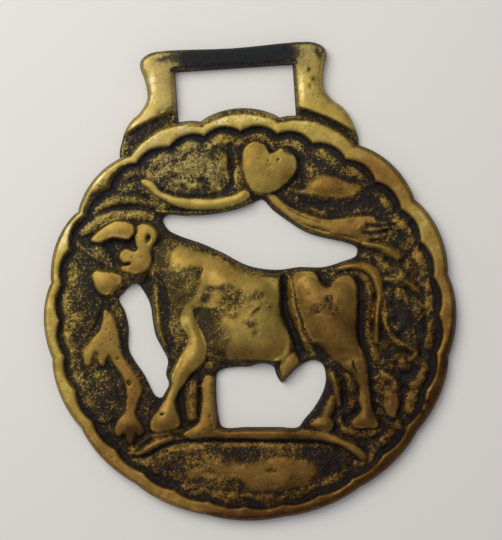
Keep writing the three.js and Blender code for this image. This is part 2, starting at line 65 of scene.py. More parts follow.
def curveThrough(points, closed=False, steps=5):
    stations = np.array(points, float)
    if closed:
        ring = np.vstack([stations[-1:], stations, stations[:2]])
    else:
        ring = np.vstack([2 * stations[:1] - stations[1:2], stations, 2 * stations[-1:] - stations[-2:-1]])
    a, b, c, d = ring[:-3], ring[1:-2], ring[2:-1], ring[3:]

    def gap(p, q):
        return np.maximum(np.hypot(*(q - p)[:, :2].T), 1e-4)[:, None] ** 0.5

    ab, bc, cd = gap(a, b), gap(b, c), gap(c, d)
    leave = ((b - a) / ab - (c - a) / (ab + bc) + (c - b) / bc) * bc
    arrive = ((c - b) / bc - (d - b) / (bc + cd) + (d - c) / cd) * bc
    t = (np.arange(steps) / steps)[None, :, None]
    b, c, leave, arrive = (part[:, None, :] for part in (b, c, leave, arrive))
    bend = (2 * t**3 - 3 * t**2 + 1) * b + (t**3 - 2 * t**2 + t) * leave
    bend = bend + (3 * t**2 - 2 * t**3) * c + (t**3 - t**2) * arrive
    path = bend.reshape(-1, stations.shape[1])
    return path if closed else np.vstack([path, stations[-1:]])


def smooth(low, high, value):
    t = np.clip((value - low) / (high - low), 0, 1)
    return t * t * (3 - 2 * t)


def blurred(field, sigma):
    reach = max(1, int(2.6 * sigma / casting["spacing"]))
    weights = np.exp(-0.5 * (np.arange(-reach, reach + 1) * casting["spacing"] / sigma) ** 2)
    weights /= weights.sum()
    for axis in (0, 1):
        padded = np.pad(field, [(reach, reach) if k == axis else (0, 0) for k in (0, 1)], mode="edge")
        size = field.shape[axis]
        field = sum(w * np.take(padded, range(k, k + size), axis=axis) for k, w in enumerate(weights))
    return field


# The grid itself, added as a flat sheet and scaled to millimetres in metres.
deselectAll()
bpy.ops.mesh.primitive_grid_add(x_subdivisions=columns, y_subdivisions=rows, size=1)
brass = bpy.context.object
brass.name = "horse_brass_cast"
sheet = brass.data
flat = np.empty(len(sheet.vertices) * 3)
sheet.vertices.foreach_get("co", flat)
flat = flat.reshape(rows + 1, columns + 1, 3)
X = casting["left"] + casting["across"] * (flat[:, :, 0] + 0.5)
Y = casting["low"] + casting["tall"] * (flat[:, :, 1] + 0.5)
height = np.full(X.shape, float(casting["fieldTop"]))
polishAndGlints = np.zeros(X.shape)
glitter = 0.5 - 0.004 * X
toneAndLightField = np.zeros(X.shape)
print("grid", X.shape)


def windowOn(points, margin):
    low = np.min(points[:, :2], axis=0) - margin
    high = np.max(points[:, :2], axis=0) + margin
    c = np.clip(((np.array([low[0], high[0]]) - casting["left"]) / casting["across"] * columns), 0, columns)
    r = np.clip(((np.array([low[1], high[1]]) - casting["low"]) / casting["tall"] * rows), 0, rows)
    return slice(int(r[0]), int(r[1]) + 2), slice(int(c[0]), int(c[1]) + 2)


# How far each point of a window lies inside a ridge's edge, and the ridge's share of height there.
def insideRidge(path, area):
    px, py = X[area][..., None], Y[area][..., None]
    p, q = path[:-1], path[1:]
    dx, dy = q[:, 0] - p[:, 0], q[:, 1] - p[:, 1]
    t = np.clip(((px - p[:, 0]) * dx + (py - p[:, 1]) * dy) / np.maximum(dx * dx + dy * dy, 1e-9), 0, 1)
    away = np.hypot(px - p[:, 0] - t * dx, py - p[:, 1] - t * dy)
    half = p[:, 2] + t * (q[:, 2] - p[:, 2])
    share = p[:, 3] + t * (q[:, 3] - p[:, 3])
    best = np.argmax(half - away, axis=-1)[..., None]
    pick = lambda values: np.take_along_axis(values, best, axis=-1)[..., 0]
    return pick(half - away), pick(half), pick(share)


def insideOutline(outline, area):
    px, py = X[area][..., None], Y[area][..., None]
    p, q = outline, np.roll(outline, -1, axis=0)
    dx, dy = q[:, 0] - p[:, 0], q[:, 1] - p[:, 1]
    t = np.clip(((px - p[:, 0]) * dx + (py - p[:, 1]) * dy) / np.maximum(dx * dx + dy * dy, 1e-9), 0, 1)
    away = np.hypot(px - p[:, 0] - t * dx, py - p[:, 1] - t * dy).min(axis=-1)
    spans = (p[:, 1] > py) != (q[:, 1] > py)
    crossing = p[:, 0] + (py - p[:, 1]) * dx / np.where(dy == 0, 1e-9, dy)
    inside = (np.sum(spans & (px < crossing), axis=-1) % 2) == 1
    return np.where(inside, away, -away)


def signedDistance(outline, margin=2.5, far=-2.5):
    area = windowOn(outline, margin)
    distance = np.full(X.shape, float(far))
    distance[area] = insideOutline(outline, area)
    return distance


def alongStations(stations, margin):
    path = curveThrough([(*s, 1) if len(s) == 3 else s for s in stations])
    area = windowOn(path, np.max(path[:, 2]) + margin)
    return area, *insideRidge(path, area)


def paint(area, cover, shine, toneAndLight=0.0):
    polishAndGlints[area] = np.maximum(polishAndGlints[area], shine * cover)
    toneAndLightField[area] += toneAndLight * cover


def ridge(stations, lift, shine=0.85, edge=0.68, skirt=0.4, toneAndLight=0.0):
    area, depth, half, share = alongStations(stations, skirt + 0.3)
    across = np.clip(depth / np.maximum(half, 0.05), 0, 1)
    rise = edge * smooth(-skirt - 0.15, -0.08, depth) + (1 - edge) * (1 - (1 - across) ** 2)
    height[area] = np.maximum(height[area], casting["fieldTop"] + lift * share * rise)
    paint(area, smooth(-0.22, 0.12, depth), shine, toneAndLight)


def boss(points, lift, shine=0.85, edge=0.6, skirt=0.45, swell=1.2, toneAndLight=0.0):
    outline = curveThrough(points, closed=True)
    area = windowOn(outline, 3 * swell)
    depth = insideOutline(outline, area)
    dome = np.clip(blurred((depth > 0).astype(float), swell) * 2 - 1, 0, 1)
    rise = edge * smooth(-skirt - 0.15, -0.08, depth) + (1 - edge) * np.where(depth > 0, dome, 0)
    height[area] = np.maximum(height[area], casting["fieldTop"] + lift * rise)
    paint(area, smooth(-0.22, 0.12, depth), shine, toneAndLight)


def groove(stations, depth):
    area, inward, _, share = alongStations(stations, 0.5)
    cut = smooth(-0.25, 0.2, inward)
    height[area] -= depth * share * cut
    polishAndGlints[area] *= 1 - cut
    glitter[area] -= 0.5 * cut


def patch(points, shine, soft=0.3, toneAndLight=0.0):
    outline = curveThrough(points, closed=True)
    area = windowOn(outline, 1)
    paint(area, smooth(-soft, soft, insideOutline(outline, area)), shine, toneAndLight)


def streak(stations, amount):
    area, inward, _, share = alongStations(stations, 0.6)
    glitter[area] += amount * share * smooth(-0.35, 0.3, inward)


def spot(x, y, rx, ry, turn=0.0):
    dx, dy = X - x, Y - y
    c, s = math.cos(math.radians(turn)), math.sin(math.radians(turn))
    return np.exp(-(((dx * c + dy * s) / rx) ** 2 + ((dy * c - dx * s) / ry) ** 2))


# The sum of spots given as (x, y, rx, ry, amount), or with the turn in degrees before the amount.
def spotted(places):
    return sum(amount * spot(*place) for *place, amount in places)


def grainOf(size, seed):
    noise = np.random.RandomState(seed).standard_normal(X.shape)
    noise = blurred(noise, size)
    return noise / noise.std()


# The rim: sixteen outer lobes, each over two inner scallops, unevenly spaced as in the casting.
rim = {
    "discRadius": 38,
    "lobes": 16,
    "lobeRise": 0.85,
    "lobeGain": 0.6,
    "scallopRise": 0.85,
    "scallopGain": 0.3,
    "topTrim": 0.15,
    "width": 2.85,
    "broadening": (0.68, 0.2, 0.74, -0.12),
    "firstCusp": 89.5,
    "cuspDrift": 2.5,
    "driftAngle": 120,
    "top": 2.9,
    "innerRoll": 0.12,
    "outerRoll": 0.75,
    "shine": 0.95,
    "outerSlope": [(0, 0.8), (30, 0.8), (55, 0.6), (80, 1.3), (100, 1.3), (108, 0.7), (125, 0.5), (150, 0.5),
                   (165, 0.6), (172, 0.35), (185, 0.25), (250, 0.25), (262, 0.9), (290, 1.2), (305, 1.9),
                   (335, 2.1), (350, 1.2), (360, 0.8)],
    "slopeShine": [(0, 0.45), (60, 0.3), (80, 0.1), (180, 0.1), (240, 0.5), (300, 0.72), (340, 0.76),
                   (360, 0.45)],
    "innerSlope": [(0, 0), (115, 0), (127, 0.8), (145, 0.9), (160, 0.5), (170, 0.15), (185, 0), (360, 0)],
    "trenchDepth": 0.2,
    "trenchFilled": [(0, -35, 14, 4, 0.8)],
    "laceInset": 2.1,
    "laceHalf": 0.8,
    "laceLift": 0.4,
    "laceShare": [(0, 1), (60, 0.8), (90, 0.8), (112, 0.6), (125, 0), (165, 0), (185, 0.4), (250, 0.6),
                  (300, 0.7), (360, 1)],
}
cusps = rim["firstCusp"] + 180 / rim["lobes"] * np.arange(2 * rim["lobes"] + 1)
cusps = cusps - rim["cuspDrift"] * (1 - np.cos(np.radians(cusps - rim["driftAngle"])))
radius = np.hypot(X, Y)
angle = np.degrees(np.arctan2(Y, X))
turned = cusps[0] + (angle - cusps[0]) % 360
index = np.clip(np.searchsorted(cusps, turned, side="right") - 1, 0, 2 * rim["lobes"] - 1)
share = np.clip((turned - cusps[index]) / (cusps[index + 1] - cusps[index]), 0, 1)
sine, cosine = np.sin(np.radians(angle)), np.cos(np.radians(angle))
acrossLobe = ((index + 1) % 2) / 2 + share / 2
outside = rim["discRadius"] - rim["topTrim"] * (1 + sine)
outside = outside - (rim["lobeRise"] + rim["lobeGain"] * sine) * (1 - np.sin(np.pi * acrossLobe) ** 0.7)
waves = (sine, cosine, sine * cosine, 2 * cosine**2 - 1)
broader = sum(amount * wave for amount, wave in zip(rim["broadening"], waves))
scallop = 1 - np.clip(np.sin(np.pi * share), 0, 1) ** 0.8
inside = rim["discRadius"] - rim["width"] - broader
inside = inside - (rim["scallopRise"] + rim["scallopGain"] * sine) * scallop

# Where the metal is: the disc and the hanger, less the slot and the three windows.
hanger = {
    "top": 2.5,
    "slotHalf": 10.8,
    "slotTop": 45,
    "legWidth": 5.4,
    "rise": 10.9,
    "splay": 5.7,
    "flare": 0.9,
    "recessRadius": 39,
    "recessShift": -1.5,
    "crown": 0.35,
    "shine": 0.9,
    "darkBesideSlot": {"above": 0.85, "right": 0.5, "left": 0.2},
    "barFrom": 46.4,
    "darkAtEdge": {"bar": 0.5, "legs": 0.1},
}


def hangerSide(side):
    waist = hanger["slotHalf"] + hanger["legWidth"]
    foot = waist + hanger["splay"]
    drop = rim["discRadius"] - math.sqrt(rim["discRadius"] ** 2 - foot**2)
    splayed = [(1, 1.3), (1, 1), (0.9, 0.72), (0.76, 0.42), (0.53, 0.17), (0.27, 0)]
    flared = [(0, 0.22), (0, 0.42), (0.45, 0.6), (1, 0.76), (0.75, 0.88), (-0.4, 0.96), (-2.5, 1.01)]
    low = [(side * (waist + hanger["splay"] * x), rim["discRadius"] - drop * y) for x, y in splayed]
    high = [(side * (waist + hanger["flare"] * x), rim["discRadius"] + hanger["rise"] * y) for x, y in flared]
    return low + high


topMiddle = (0, rim["discRadius"] + 0.985 * hanger["rise"])
silhouette = curveThrough([*hangerSide(1), topMiddle, *hangerSide(-1)[::-1]])
silhouette = np.vstack([silhouette, [(0, 30)]])
slot = np.array([(-1, 0), (1, 0), (1, 1), (-1, 1)]) * (hanger["slotHalf"], hanger["slotTop"] - 35) + (0, 35)
skyWindow = [
    [-14.8, 18.2], [-13.9, 16.3], [-12, 15.1], [-8, 13.4], [-4, 11.3], [-2, 10], [0, 8.9], [2.5, 8.1],
    [6, 7.65], [9.5, 7.9], [14, 7.6], [17.5, 8.4], [20.1, 9.3], [20.3, 10.7], [18.4, 11.8], [14, 13.1],
    [11.2, 14.2], [8, 16.5], [5.4, 18.7], [3.6, 20.7], [2.4, 20.4], [0, 19.5], [-3, 18.9], [-7, 18.55],
    [-11, 18.7], [-13.8, 19],
]
neckWindow = [
    [-23.8, 4.3], [-22.8, 5.4], [-21.4, 6.6], [-20.3, 6.8], [-18.9, 4.8], [-18.1, 2.6], [-17.9, 0],
    [-17.5, -3], [-16.4, -5.5], [-15.6, -7.6], [-16.1, -10.1], [-15.7, -11.9], [-16.5, -13.4], [-17.2, -14.3],
    [-18.3, -13.9], [-19.2, -12], [-20.2, -9.7], [-21.7, -7.2], [-22.6, -5], [-22.4, -1], [-22.9, 2],
]
bellyWindow = [
    [-7, -12], [-6.6, -10.4], [-5.4, -9.8], [-3, -9.6], [-0.8, -9.7], [1, -9.3], [2.6, -9.4], [3.7, -10.1],
    [4.1, -11.6], [5, -13], [6.1, -12.2], [8, -10.5], [10.8, -9.3], [12.6, -10.1], [13.1, -12.6], [12.5, -15],
    [10.6, -18], [8.6, -20.1], [7.4, -21.4], [4, -21.15], [-2, -20.75], [-6.4, -20.4], [-7, -18.5],
]
discDepth = np.clip(outside - radius, -4, 4)
hangerDepth = signedDistance(silhouette, 4, -4)
slotDepth = signedDistance(slot, 4, -4)
slotDepth = np.minimum(slotDepth, radius - outside)
metal = np.minimum(np.maximum(discDepth, hangerDepth), -slotDepth)
windows = np.full(X.shape, 4.0)
for window in (skyWindow, neckWindow, bellyWindow):
    windows = np.minimum(windows, -signedDistance(curveThrough(window, closed=True), 4, -4))
metal = np.minimum(metal, windows)
onDisc = discDepth > 0

# The hanger's legs and bar, with the low recess that follows the disc between them.
hangerInner = np.minimum(hangerDepth, -slotDepth)
recess = np.hypot(X - hanger["recessShift"], Y) - hanger["recessRadius"]
legShare = smooth(-0.35, 0.35, recess)
hangerTop = casting["fieldTop"] + (hanger["top"] - casting["fieldTop"]) * legShare
height = np.where(onDisc, height, hangerTop)
crown = hanger["crown"] * np.clip(blurred((hangerInner > 0).astype(float), 1.2) * 2 - 1, 0, 1)
height = np.where(onDisc, height, height + crown * legShare)
dark = hanger["darkBesideSlot"]
slotEdge = np.where(Y > hanger["slotTop"] - 0.1, dark["above"], np.where(X > 0, dark["right"], dark["left"]))
outerEdge = np.where(Y > hanger["barFrom"], hanger["darkAtEdge"]["bar"], hanger["darkAtEdge"]["legs"])
hangerShine = hanger["shine"] * smooth(-0.1, 0.45, recess)
hangerShine = hangerShine * smooth(slotEdge - 0.25, slotEdge + 0.2, -slotDepth)
polishAndGlints = np.where(onDisc, polishAndGlints, hangerShine * smooth(outerEdge - 0.2, outerEdge + 0.3, hangerDepth))
print("outline and hanger")

# The rim's rounded band and its scalloped inner edge.
inward = radius - inside
outward = outside - radius
slope = np.interp(angle % 360, *np.transpose(rim["outerSlope"]))
fall = np.clip(outward / (slope + 0.35), 0, 1)
band = rim["top"] - rim["outerRoll"] * (1 - fall) ** 2
band = band - rim["innerRoll"] * (1 - np.clip(inward / 0.9, 0, 1)) ** 2
onRim = onDisc & (inward > -0.5)
innerSlope = np.interp(angle % 360, *np.transpose(rim["innerSlope"]))
slopeShine = np.interp(angle % 360, *np.transpose(rim["slopeShine"]))
rise = smooth(-0.35, 0.1 + 1.1 * innerSlope, inward)
banded = casting["fieldTop"] + (band - casting["fieldTop"]) * rise
height = np.where(onRim, np.maximum(height, banded), height)
outerShare = 1 - smooth(-0.25, 0.35, outward - slope)
wearAndGlints = smooth(-0.2, 0.15, inward - innerSlope) * (1 - (1 - slopeShine) * outerShare)
polishAndGlints = np.where(onRim, np.maximum(polishAndGlints, rim["shine"] * wearAndGlints), polishAndGlints)
toneAndLightField -= np.where(onRim, 0.3 * outerShare * smooth(0.2, 0.6, slopeShine), 0)

# Granular lace just inside the rim, with the dark trench between them.
laceShare = np.interp(angle % 360, *np.transpose(rim["laceShare"])) * onDisc
laceGap = inside - radius
laceShare = laceShare * (0.3 + 0.7 * np.clip(np.sin(np.pi * share), 0, 1) ** 1.5)
laceCover = laceShare * smooth(-0.5, 0.5, rim["laceHalf"] - np.abs(rim["laceInset"] - laceGap))
height = np.maximum(height, casting["fieldTop"] + rim["laceLift"] * laceCover)
glitter += 0.5 * laceCover
glitter -= 0.24 * laceShare * smooth(2.4, 3.2, laceGap) * (1 - smooth(3.8, 4.8, laceGap))
trench = smooth(-0.3, 0.2, laceGap) * (1 - smooth(0.7, 1.3, laceGap)) * onDisc
trench = trench * (1 - spotted(rim["trenchFilled"]))
glitter -= 0.4 * trench
height -= rim["trenchDepth"] * trench
print("rim and lace")

drapery = {
    "swagLift": 1.3,
    "panelLift": 0.6,
    "heartLift": 1.9,
    "swagShine": 0.8,
}


def makeDrapery():
    lift, shine = drapery["swagLift"], drapery["swagShine"]
    leftPanel = [
        [-17, 26.6], [-14.5, 29.8], [-10, 31.4], [-5, 31.2], [-2.3, 28.5], [-2.3, 24.4], [-5, 22.8],
        [-9, 22.7], [-14, 24],
    ]
    rightPanel = [
        [10.9, 25.5], [14, 27.6], [19, 26], [23, 22.8], [25.6, 18.8], [22, 17.4], [15, 18.5], [10.9, 21.5],
    ]
    rightPatch = [
        [8.6, 22.2], [11.5, 22], [12.3, 23.5], [14, 24.4], [16, 24.2], [18, 23.4], [19.6, 22.6], [21.8, 22],
        [21.4, 21], [20, 20.2], [17.5, 20], [15, 20.4], [12.5, 21], [10.2, 21.5],
    ]
    heart = [
        [0.5, 27.6], [0.9, 30.1], [2.8, 31.3], [4.6, 30.6], [5.6, 28.9], [7.8, 29.7], [9.9, 28.3], [10.2, 26],
        [8.2, 23.4], [5, 21.8], [2.3, 22.1], [0.8, 24.4],
    ]
    leftSwag = [
        [-18.3, 25.4], [-17.2, 25.6], [-16, 24.9], [-15, 23.5], [-13.3, 22.6], [-11, 21.9], [-8, 21.5],
        [-5, 21.4], [-2, 21.6], [0.6, 22.5], [1.4, 21.6], [0.2, 20.6], [-3, 19.7], [-6, 19.4], [-9, 19.7],
        [-12, 20.5], [-14.5, 21.9], [-16, 22.9], [-16.9, 23.9],
    ]
    rightSwag = [
        [4.6, 21.6], [5.8, 21.2], [7.4, 19.8], [9.6, 18.2], [12, 17.1], [14, 16.4], [16.4, 16.1], [19, 16.3],
        [21.6, 16.3], [23.4, 16.1], [24.2, 15.4], [25.6, 14.9], [26.4, 14.2], [24.8, 13.8], [25.6, 12.9],
        [24.4, 12.3], [22.6, 12.3], [21.4, 11.4], [19.4, 11.9], [16, 12.8], [13.4, 13.9], [11, 15], [9, 16.4],
        [7, 18.3], [5.4, 19.8],
    ]
    boss(leftPanel, drapery["panelLift"], shine=0, swell=2)
    boss(rightPanel, drapery["panelLift"] * 0.6, shine=0, swell=1.5)
    boss(rightPatch, drapery["panelLift"] * 1.2, shine=0, edge=0.2, skirt=0.8)
    patch(rightPatch, 0.72, soft=0.9)
    ridge([[-15.6, 19.9, 0.2], [-12, 19.1, 0.3], [-8, 18.9, 0.25], [-4, 19, 0.25], [-0.6, 19.7, 0.3],
           [1.6, 20.6, 0.2]], lift * 0.8, shine * 0.7)
    boss(leftSwag, lift, shine, edge=0.75, skirt=0.3, swell=0.7)
    boss(rightSwag, lift * 0.9, 0, edge=0.75, skirt=0.35, swell=1)
    patch([
        [4.6, 21.6], [5.8, 21.2], [7.4, 19.8], [9.6, 18.2], [12, 17.1], [14, 16.4], [16.4, 16.1], [19, 16.3],
        [21.6, 16.4], [23.4, 16.2], [24.2, 15.4], [25.4, 14.8], [25.4, 13.6], [24, 12.6], [22, 11.6],
        [19.4, 11.9], [16, 12.8], [13.4, 13.9], [11, 15], [9, 16.4], [7, 18.3], [5.4, 19.8],
    ], shine, soft=0.3, toneAndLight=-0.12)
    ridge([
        [21.5, 11.4, 0.4, 0.8], [24.4, 10.7, 0.5], [26.4, 9.7, 0.6], [27.6, 8.6, 0.4, 0.7],
    ], lift, shine * 0.8)
    boss(heart, drapery["heartLift"], shine=0.66, edge=0.8, skirt=0.3, swell=1.4, toneAndLight=0.02)


makeDrapery()

leftCurtain = {
    "lift": 1.3,
    "foldLift": 0.6,
    "shine": 0.82,
}


def makeLeftCurtain():
    lift, fold, shine = leftCurtain["lift"], leftCurtain["foldLift"], leftCurtain["shine"]
    upperBunch = [
        [-33, 7], [-31, 9.9], [-28.6, 8], [-27.2, 4], [-28.6, 0.4], [-30.6, -2], [-32.8, -0.8], [-33.6, 3],
    ]
    lowerBunch = [
        [-31.9, -9.4], [-30, -8.6], [-27, -8.7], [-25.2, -10], [-24.2, -12.4], [-24.3, -15], [-25.4, -17],
        [-28, -18], [-30.2, -16.6], [-31.6, -13.6],
    ]
    band = [
        [-26.4, 2.4], [-25.2, 1.6], [-24.6, -0.6], [-24.2, -3], [-24.1, -5], [-23.3, -7.1], [-21.9, -9.3],
        [-21, -11.4], [-20.8, -12.8], [-21.4, -14], [-22, -15.6], [-22.2, -17.2], [-21.4, -18.8],
        [-21, -20.3], [-21.6, -20.7], [-22.3, -20.1], [-22.6, -20.9], [-23, -22], [-23.8, -21.9],
        [-24, -20.8], [-24.4, -20.2], [-25.2, -20.6], [-25.9, -20.2], [-25.8, -19], [-24.9, -17.6],
        [-24, -16.6], [-23.5, -15], [-23.3, -12.8], [-23.6, -10.9], [-24.6, -8.6], [-25.6, -7], [-26.2, -5.6],
        [-26.8, -6.4], [-27.3, -7.6], [-27.9, -7.3], [-28.2, -5.4], [-28.8, -5], [-29.5, -6.2], [-29.7, -7.4],
        [-30.3, -7.4], [-30.8, -5.8], [-30.4, -4.3], [-29.4, -3.4], [-28.6, -2.4], [-27.4, -1], [-26.8, 0.8],
    ]
    boss(upperBunch, fold * 1.2, shine=0, swell=1.8)
    boss(lowerBunch, fold * 1.5, shine=0, swell=1.5, edge=0.4)
    boss([
        [-30.9, -5], [-29.6, -4], [-28, -4.6], [-27.9, -7], [-29, -8], [-30.5, -7.7],
    ], lift * 0.7, shine=0.34)
    boss([[-27.4, -5.6], [-26, -5.4], [-25.8, -7.4], [-27, -7.8]], lift * 0.6, shine=0.1)
    boss(band, lift, shine * 0.9, edge=0.8, skirt=0.3, swell=1.2, toneAndLight=-0.22)
    folds = [
        [[-30.2, 16.6, 0.4, 0.7], [-28, 17.6, 0.6], [-26, 18.7, 0.7], [-22, 19.6, 0.8],
         [-17, 18.9, 0.6, 0.8]],
        [[-27.2, 20.8, 0.4, 0.6], [-25, 21.8, 0.6], [-22, 22.4, 0.6], [-18, 21.6, 0.5], [-14, 20.5, 0.4]],
        [[-21.6, 23.8, 0.5, 0.6], [-19, 24.6, 0.6], [-17.2, 23.6, 0.6], [-14.4, 21.6, 0.5, 0.6]],
        [[-21.5, 26.4, 0.4, 0.5], [-19.6, 27.4, 0.6], [-18, 27.2, 0.5, 0.6]],
        [[-30.2, 14.8, 0.6, 0.6], [-28, 13.8, 1], [-26, 12.2, 1], [-25, 11, 0.5, 0.6]],
        [[-31.5, 10.8, 0.7, 0.6], [-31.4, 9, 1.1, 0.7], [-31.6, 7.6, 0.7, 0.6]],
        [[-33.3, 6.2, 0.4, 0.6], [-33.6, 2, 0.5], [-33.4, -2, 0.5], [-32.8, -5, 0.4, 0.6]],
    ]
    for line in folds:
        ridge(line, fold * 1.1, 0)


makeLeftCurtain()

rightCurtain = {
    "lift": 1.3,
    "foldLift": 0.7,
    "shine": 0.7,
}


def makeRightCurtain():
    lift, fold, shine = rightCurtain["lift"], rightCurtain["foldLift"], rightCurtain["shine"]
    knot = [
        [24.8, -2.4], [26.2, -0.9], [28, -2], [28, -4.4], [26.4, -5.3], [24.9, -4.4],
    ]
    bulge = [
        [27.4, 2.6], [30.2, 1], [31.4, -3], [30.6, -7.4], [28.4, -7.6], [27.2, -3],
    ]
    tassel = [
        [24.4, -16.1], [25.5, -16.6], [25.9, -18.2], [25.5, -19.5], [25, -20.5], [24, -20.1], [23.5, -19.2],
        [23.3, -18.2], [23.9, -17.2],
    ]
    boss(bulge, fold, shine=0)
    boss(knot, fold * 1.2, shine=0)
    ridge([[25.2, 4.6, 0.4, 0.7], [27.6, 4.2, 0.5], [29.6, 3.3, 0.55], [31, 1.9, 0.3, 0.6]], lift * 0.8, 0.4)
    ridge([
        [25.8, 2.4, 0.4, 0.6], [25, 0.4, 0.5, 0.8], [24.7, -2, 0.5], [24.9, -4.2, 0.5], [26, -6.2, 0.5],
        [27.4, -7.5, 0.5], [29.2, -8.2, 0.5], [29.8, -9.2, 0.4], [28.9, -10.2, 0.4, 0.7],
    ], fold * 1.5, 0)
    ridge([
        [23.4, -12.4, 0.4, 0.6], [24.6, -13.3, 0.5], [25.7, -14.4, 0.5], [25.4, -15.6, 0.5],
    ], fold * 1.4, 0.4)
    boss(tassel, lift, shine=0.72)
    lumps = [
        (22.6, -13.6, 0.6), (22.7, -15.6, 0.7), (22.4, -17.6, 0.4), (22.9, -20, 0.5), (24.2, -21.6, 0.5),
        (26.2, -22.4, 0.5), (27.6, -11.4, 0.6), (30.8, -11.2, 0.7), (28.6, -14.6, 0.7), (28.4, -17.2, 0.6),
        (27.8, -19.6, 0.5), (29, -1.6, 0.7), (29.2, -4.4, 0.8), (27.8, 0.6, 0.6), (26.2, 6.6, 0.6),
        (28, 5.6, 0.6), (24.2, 8.4, 0.5), (30, 6.4, 0.6), (29.4, 10.6, 0.7), (24.8, 1.8, 0.5),
        (24, -7.4, 0.5), (25.6, -9, 0.6), (24.6, -11, 0.6), (30.6, -0.6, 0.6), (30.9, -6, 0.6),
    ]
    for x, y, size in lumps:
        ridge([[x - 0.3, y + 0.3, size], [x + 0.3, y - 0.3, size * 0.8]], fold, 0, skirt=0.6)


makeRightCurtain()
print("heart, swags and curtains")

bull = {
    "barrelLift": 2.9,
    "rumpLift": 2.7,
    "neckLift": 1.7,
    "headLift": 2.2,
    "legLift": 1.9,
    "farLegLift": 1.0,
    "hoofLift": 1.5,
    "tailLift": 1.5,
    "shine": 0.9,
}


def makeBullBody():
    barrel = [
        [-10, 12.2], [-8, 11.8], [-4, 10], [0, 7.4], [3, 6.4], [5.6, 6], [5.4, 3], [5.2, 0], [6.2, -3],
        [7, -6], [5.4, -8.8], [1, -8.6], [-4, -8], [-8.5, -6.5], [-9.6, -2], [-9, 3], [-9.6, 8],
    ]
    neck = [
        [-16.6, 12.6], [-14.6, 14], [-12, 13.6], [-8, 12], [-5, 9], [-6, 3], [-9, 0], [-13, 0.6], [-16.4, 4],
        [-17.2, 8],
    ]
    chest = [
        [-17, 6.4], [-15, 8.8], [-10, 8], [-8, 3], [-10, -4], [-13.6, -7.6], [-15.7, -5.4], [-16.9, -1.6],
        [-17.3, 2.6],
    ]
    wornSide = [
        [-12.5, 13.1], [-11.2, 13], [-9, 12], [-6, 10.9], [-3.5, 9.6], [-1.5, 8.2], [0.5, 7.1], [2.6, 6.6],
        [4.4, 6.2], [5.5, 5.9], [5.6, 4], [5.3, 1], [5.6, -1.5], [6.4, -3.6], [7, -5.5], [6.8, -7.2],
        [5.8, -8.4], [3.5, -8.8], [1, -8.5], [-2, -8.2], [-4.6, -7.9], [-5, -6.6], [-4.3, -4.8], [-3.9, -2.8],
        [-5.2, -1.4], [-5.8, 0.3], [-7.2, 1.3], [-9, 1.9], [-10.6, 1.9], [-12, 1.6], [-11.2, 2.9], [-9.8, 4],
        [-8.9, 5.4], [-8.6, 7], [-8.4, 8.6], [-9.4, 9.3], [-11, 9], [-12.6, 8.6], [-13.7, 9.2], [-13.9, 11],
    ]
    rump = [
        [8.4, 4], [8.7, 6.6], [10.4, 7.1], [12.2, 6.6], [13.1, 4.8], [14.6, 3.9], [16, 5.1], [18.2, 5.8],
        [19.4, 4.6], [19.4, 0], [19, -3.6], [19.2, -6.4], [20, -9.4], [18.8, -11.4], [15.4, -9.8],
        [13.2, -7.6], [10.8, -5.4], [9.7, -2], [9, 1],
    ]
    boss(neck, bull["barrelLift"] * 0.92, shine=0, edge=0.35, skirt=0.8, swell=2)
    boss(chest, bull["neckLift"] * 0.8, shine=0, edge=0.5, skirt=0.6, swell=1.8)
    boss(barrel, bull["barrelLift"], shine=0, edge=0.42, skirt=1, swell=2.4)
    patch(wornSide, bull["shine"], soft=0.9, toneAndLight=0.12)
    patch([
        [-5, -0.6], [-3.4, -1.6], [-3, -4], [-3.6, -7], [-5.4, -8.2], [-7.6, -7.4], [-6.6, -5.4], [-5.8, -3],
        [-6, -1],
    ], 0.42, soft=0.5)
    patch([[-14.4, 8.6], [-10, 9], [-8.4, 7], [-9, 3.6], [-12, 1.4], [-14.6, 0], [-15, 4]], 0.32, soft=0.8)
    patch([[-10, 1], [-6, 1], [-4.6, -2], [-5, -6.6], [-8, -5], [-9, -2]], 0.3, soft=0.8)
    patch([[-17, 12], [-14.6, 14], [-12.4, 13.4], [-12.6, 9.4], [-15, 8.2], [-16.6, 9.6]], 0.3, soft=0.8)
    boss(rump, bull["rumpLift"], shine=bull["shine"] * 0.78, edge=0.4, skirt=0.6, swell=2, toneAndLight=-0.06)
    ridge([
        [6.6, -9.2, 1.6, 0.9], [5.7, -10.8, 0.9, 0.8], [5.3, -12.1, 0.4, 0.7],
    ], bull["farLegLift"] * 1.4, 0.62, skirt=0.3)
    ridge([
        [8, 5, 0.7, 0.8], [8.2, 1, 0.8], [8.9, -2.5, 0.8], [9.7, -5.4, 0.8], [11.6, -8.4, 0.7, 0.8],
    ], bull["farLegLift"] * 1.4, 0, edge=0.4)
    ridge([
        [-16.9, 6.2, 0.4, 0.6], [-16.8, 3, 0.4], [-16.7, 0, 0.35], [-16.4, -3, 0.35], [-15.3, -6, 0.4, 0.6],
    ], bull["neckLift"], 0)


def makeBullTail():
    ridge([
        [16.8, 7.2, 0.2, 0.5], [18.6, 7.4, 0.6], [20.6, 7.2, 0.9], [22.3, 6.3, 1.1], [23.4, 4.4, 0.95],
        [23.8, 2, 0.55], [23.3, -0.6, 0.4], [22.9, -3.4, 0.35], [22.7, -6.6, 0.4, 0.8],
    ], bull["tailLift"], 0.9, toneAndLight=-0.1)
    ridge([
        [18.2, 6.2, 0.3, 0.6], [20.4, 5.8, 0.4], [21.8, 4, 0.45], [21.9, 1, 0.4], [21.3, -3, 0.6],
        [21.5, -6, 0.7], [22.3, -9.6, 0.5, 0.7],
    ], bull["tailLift"] * 0.7, 0)


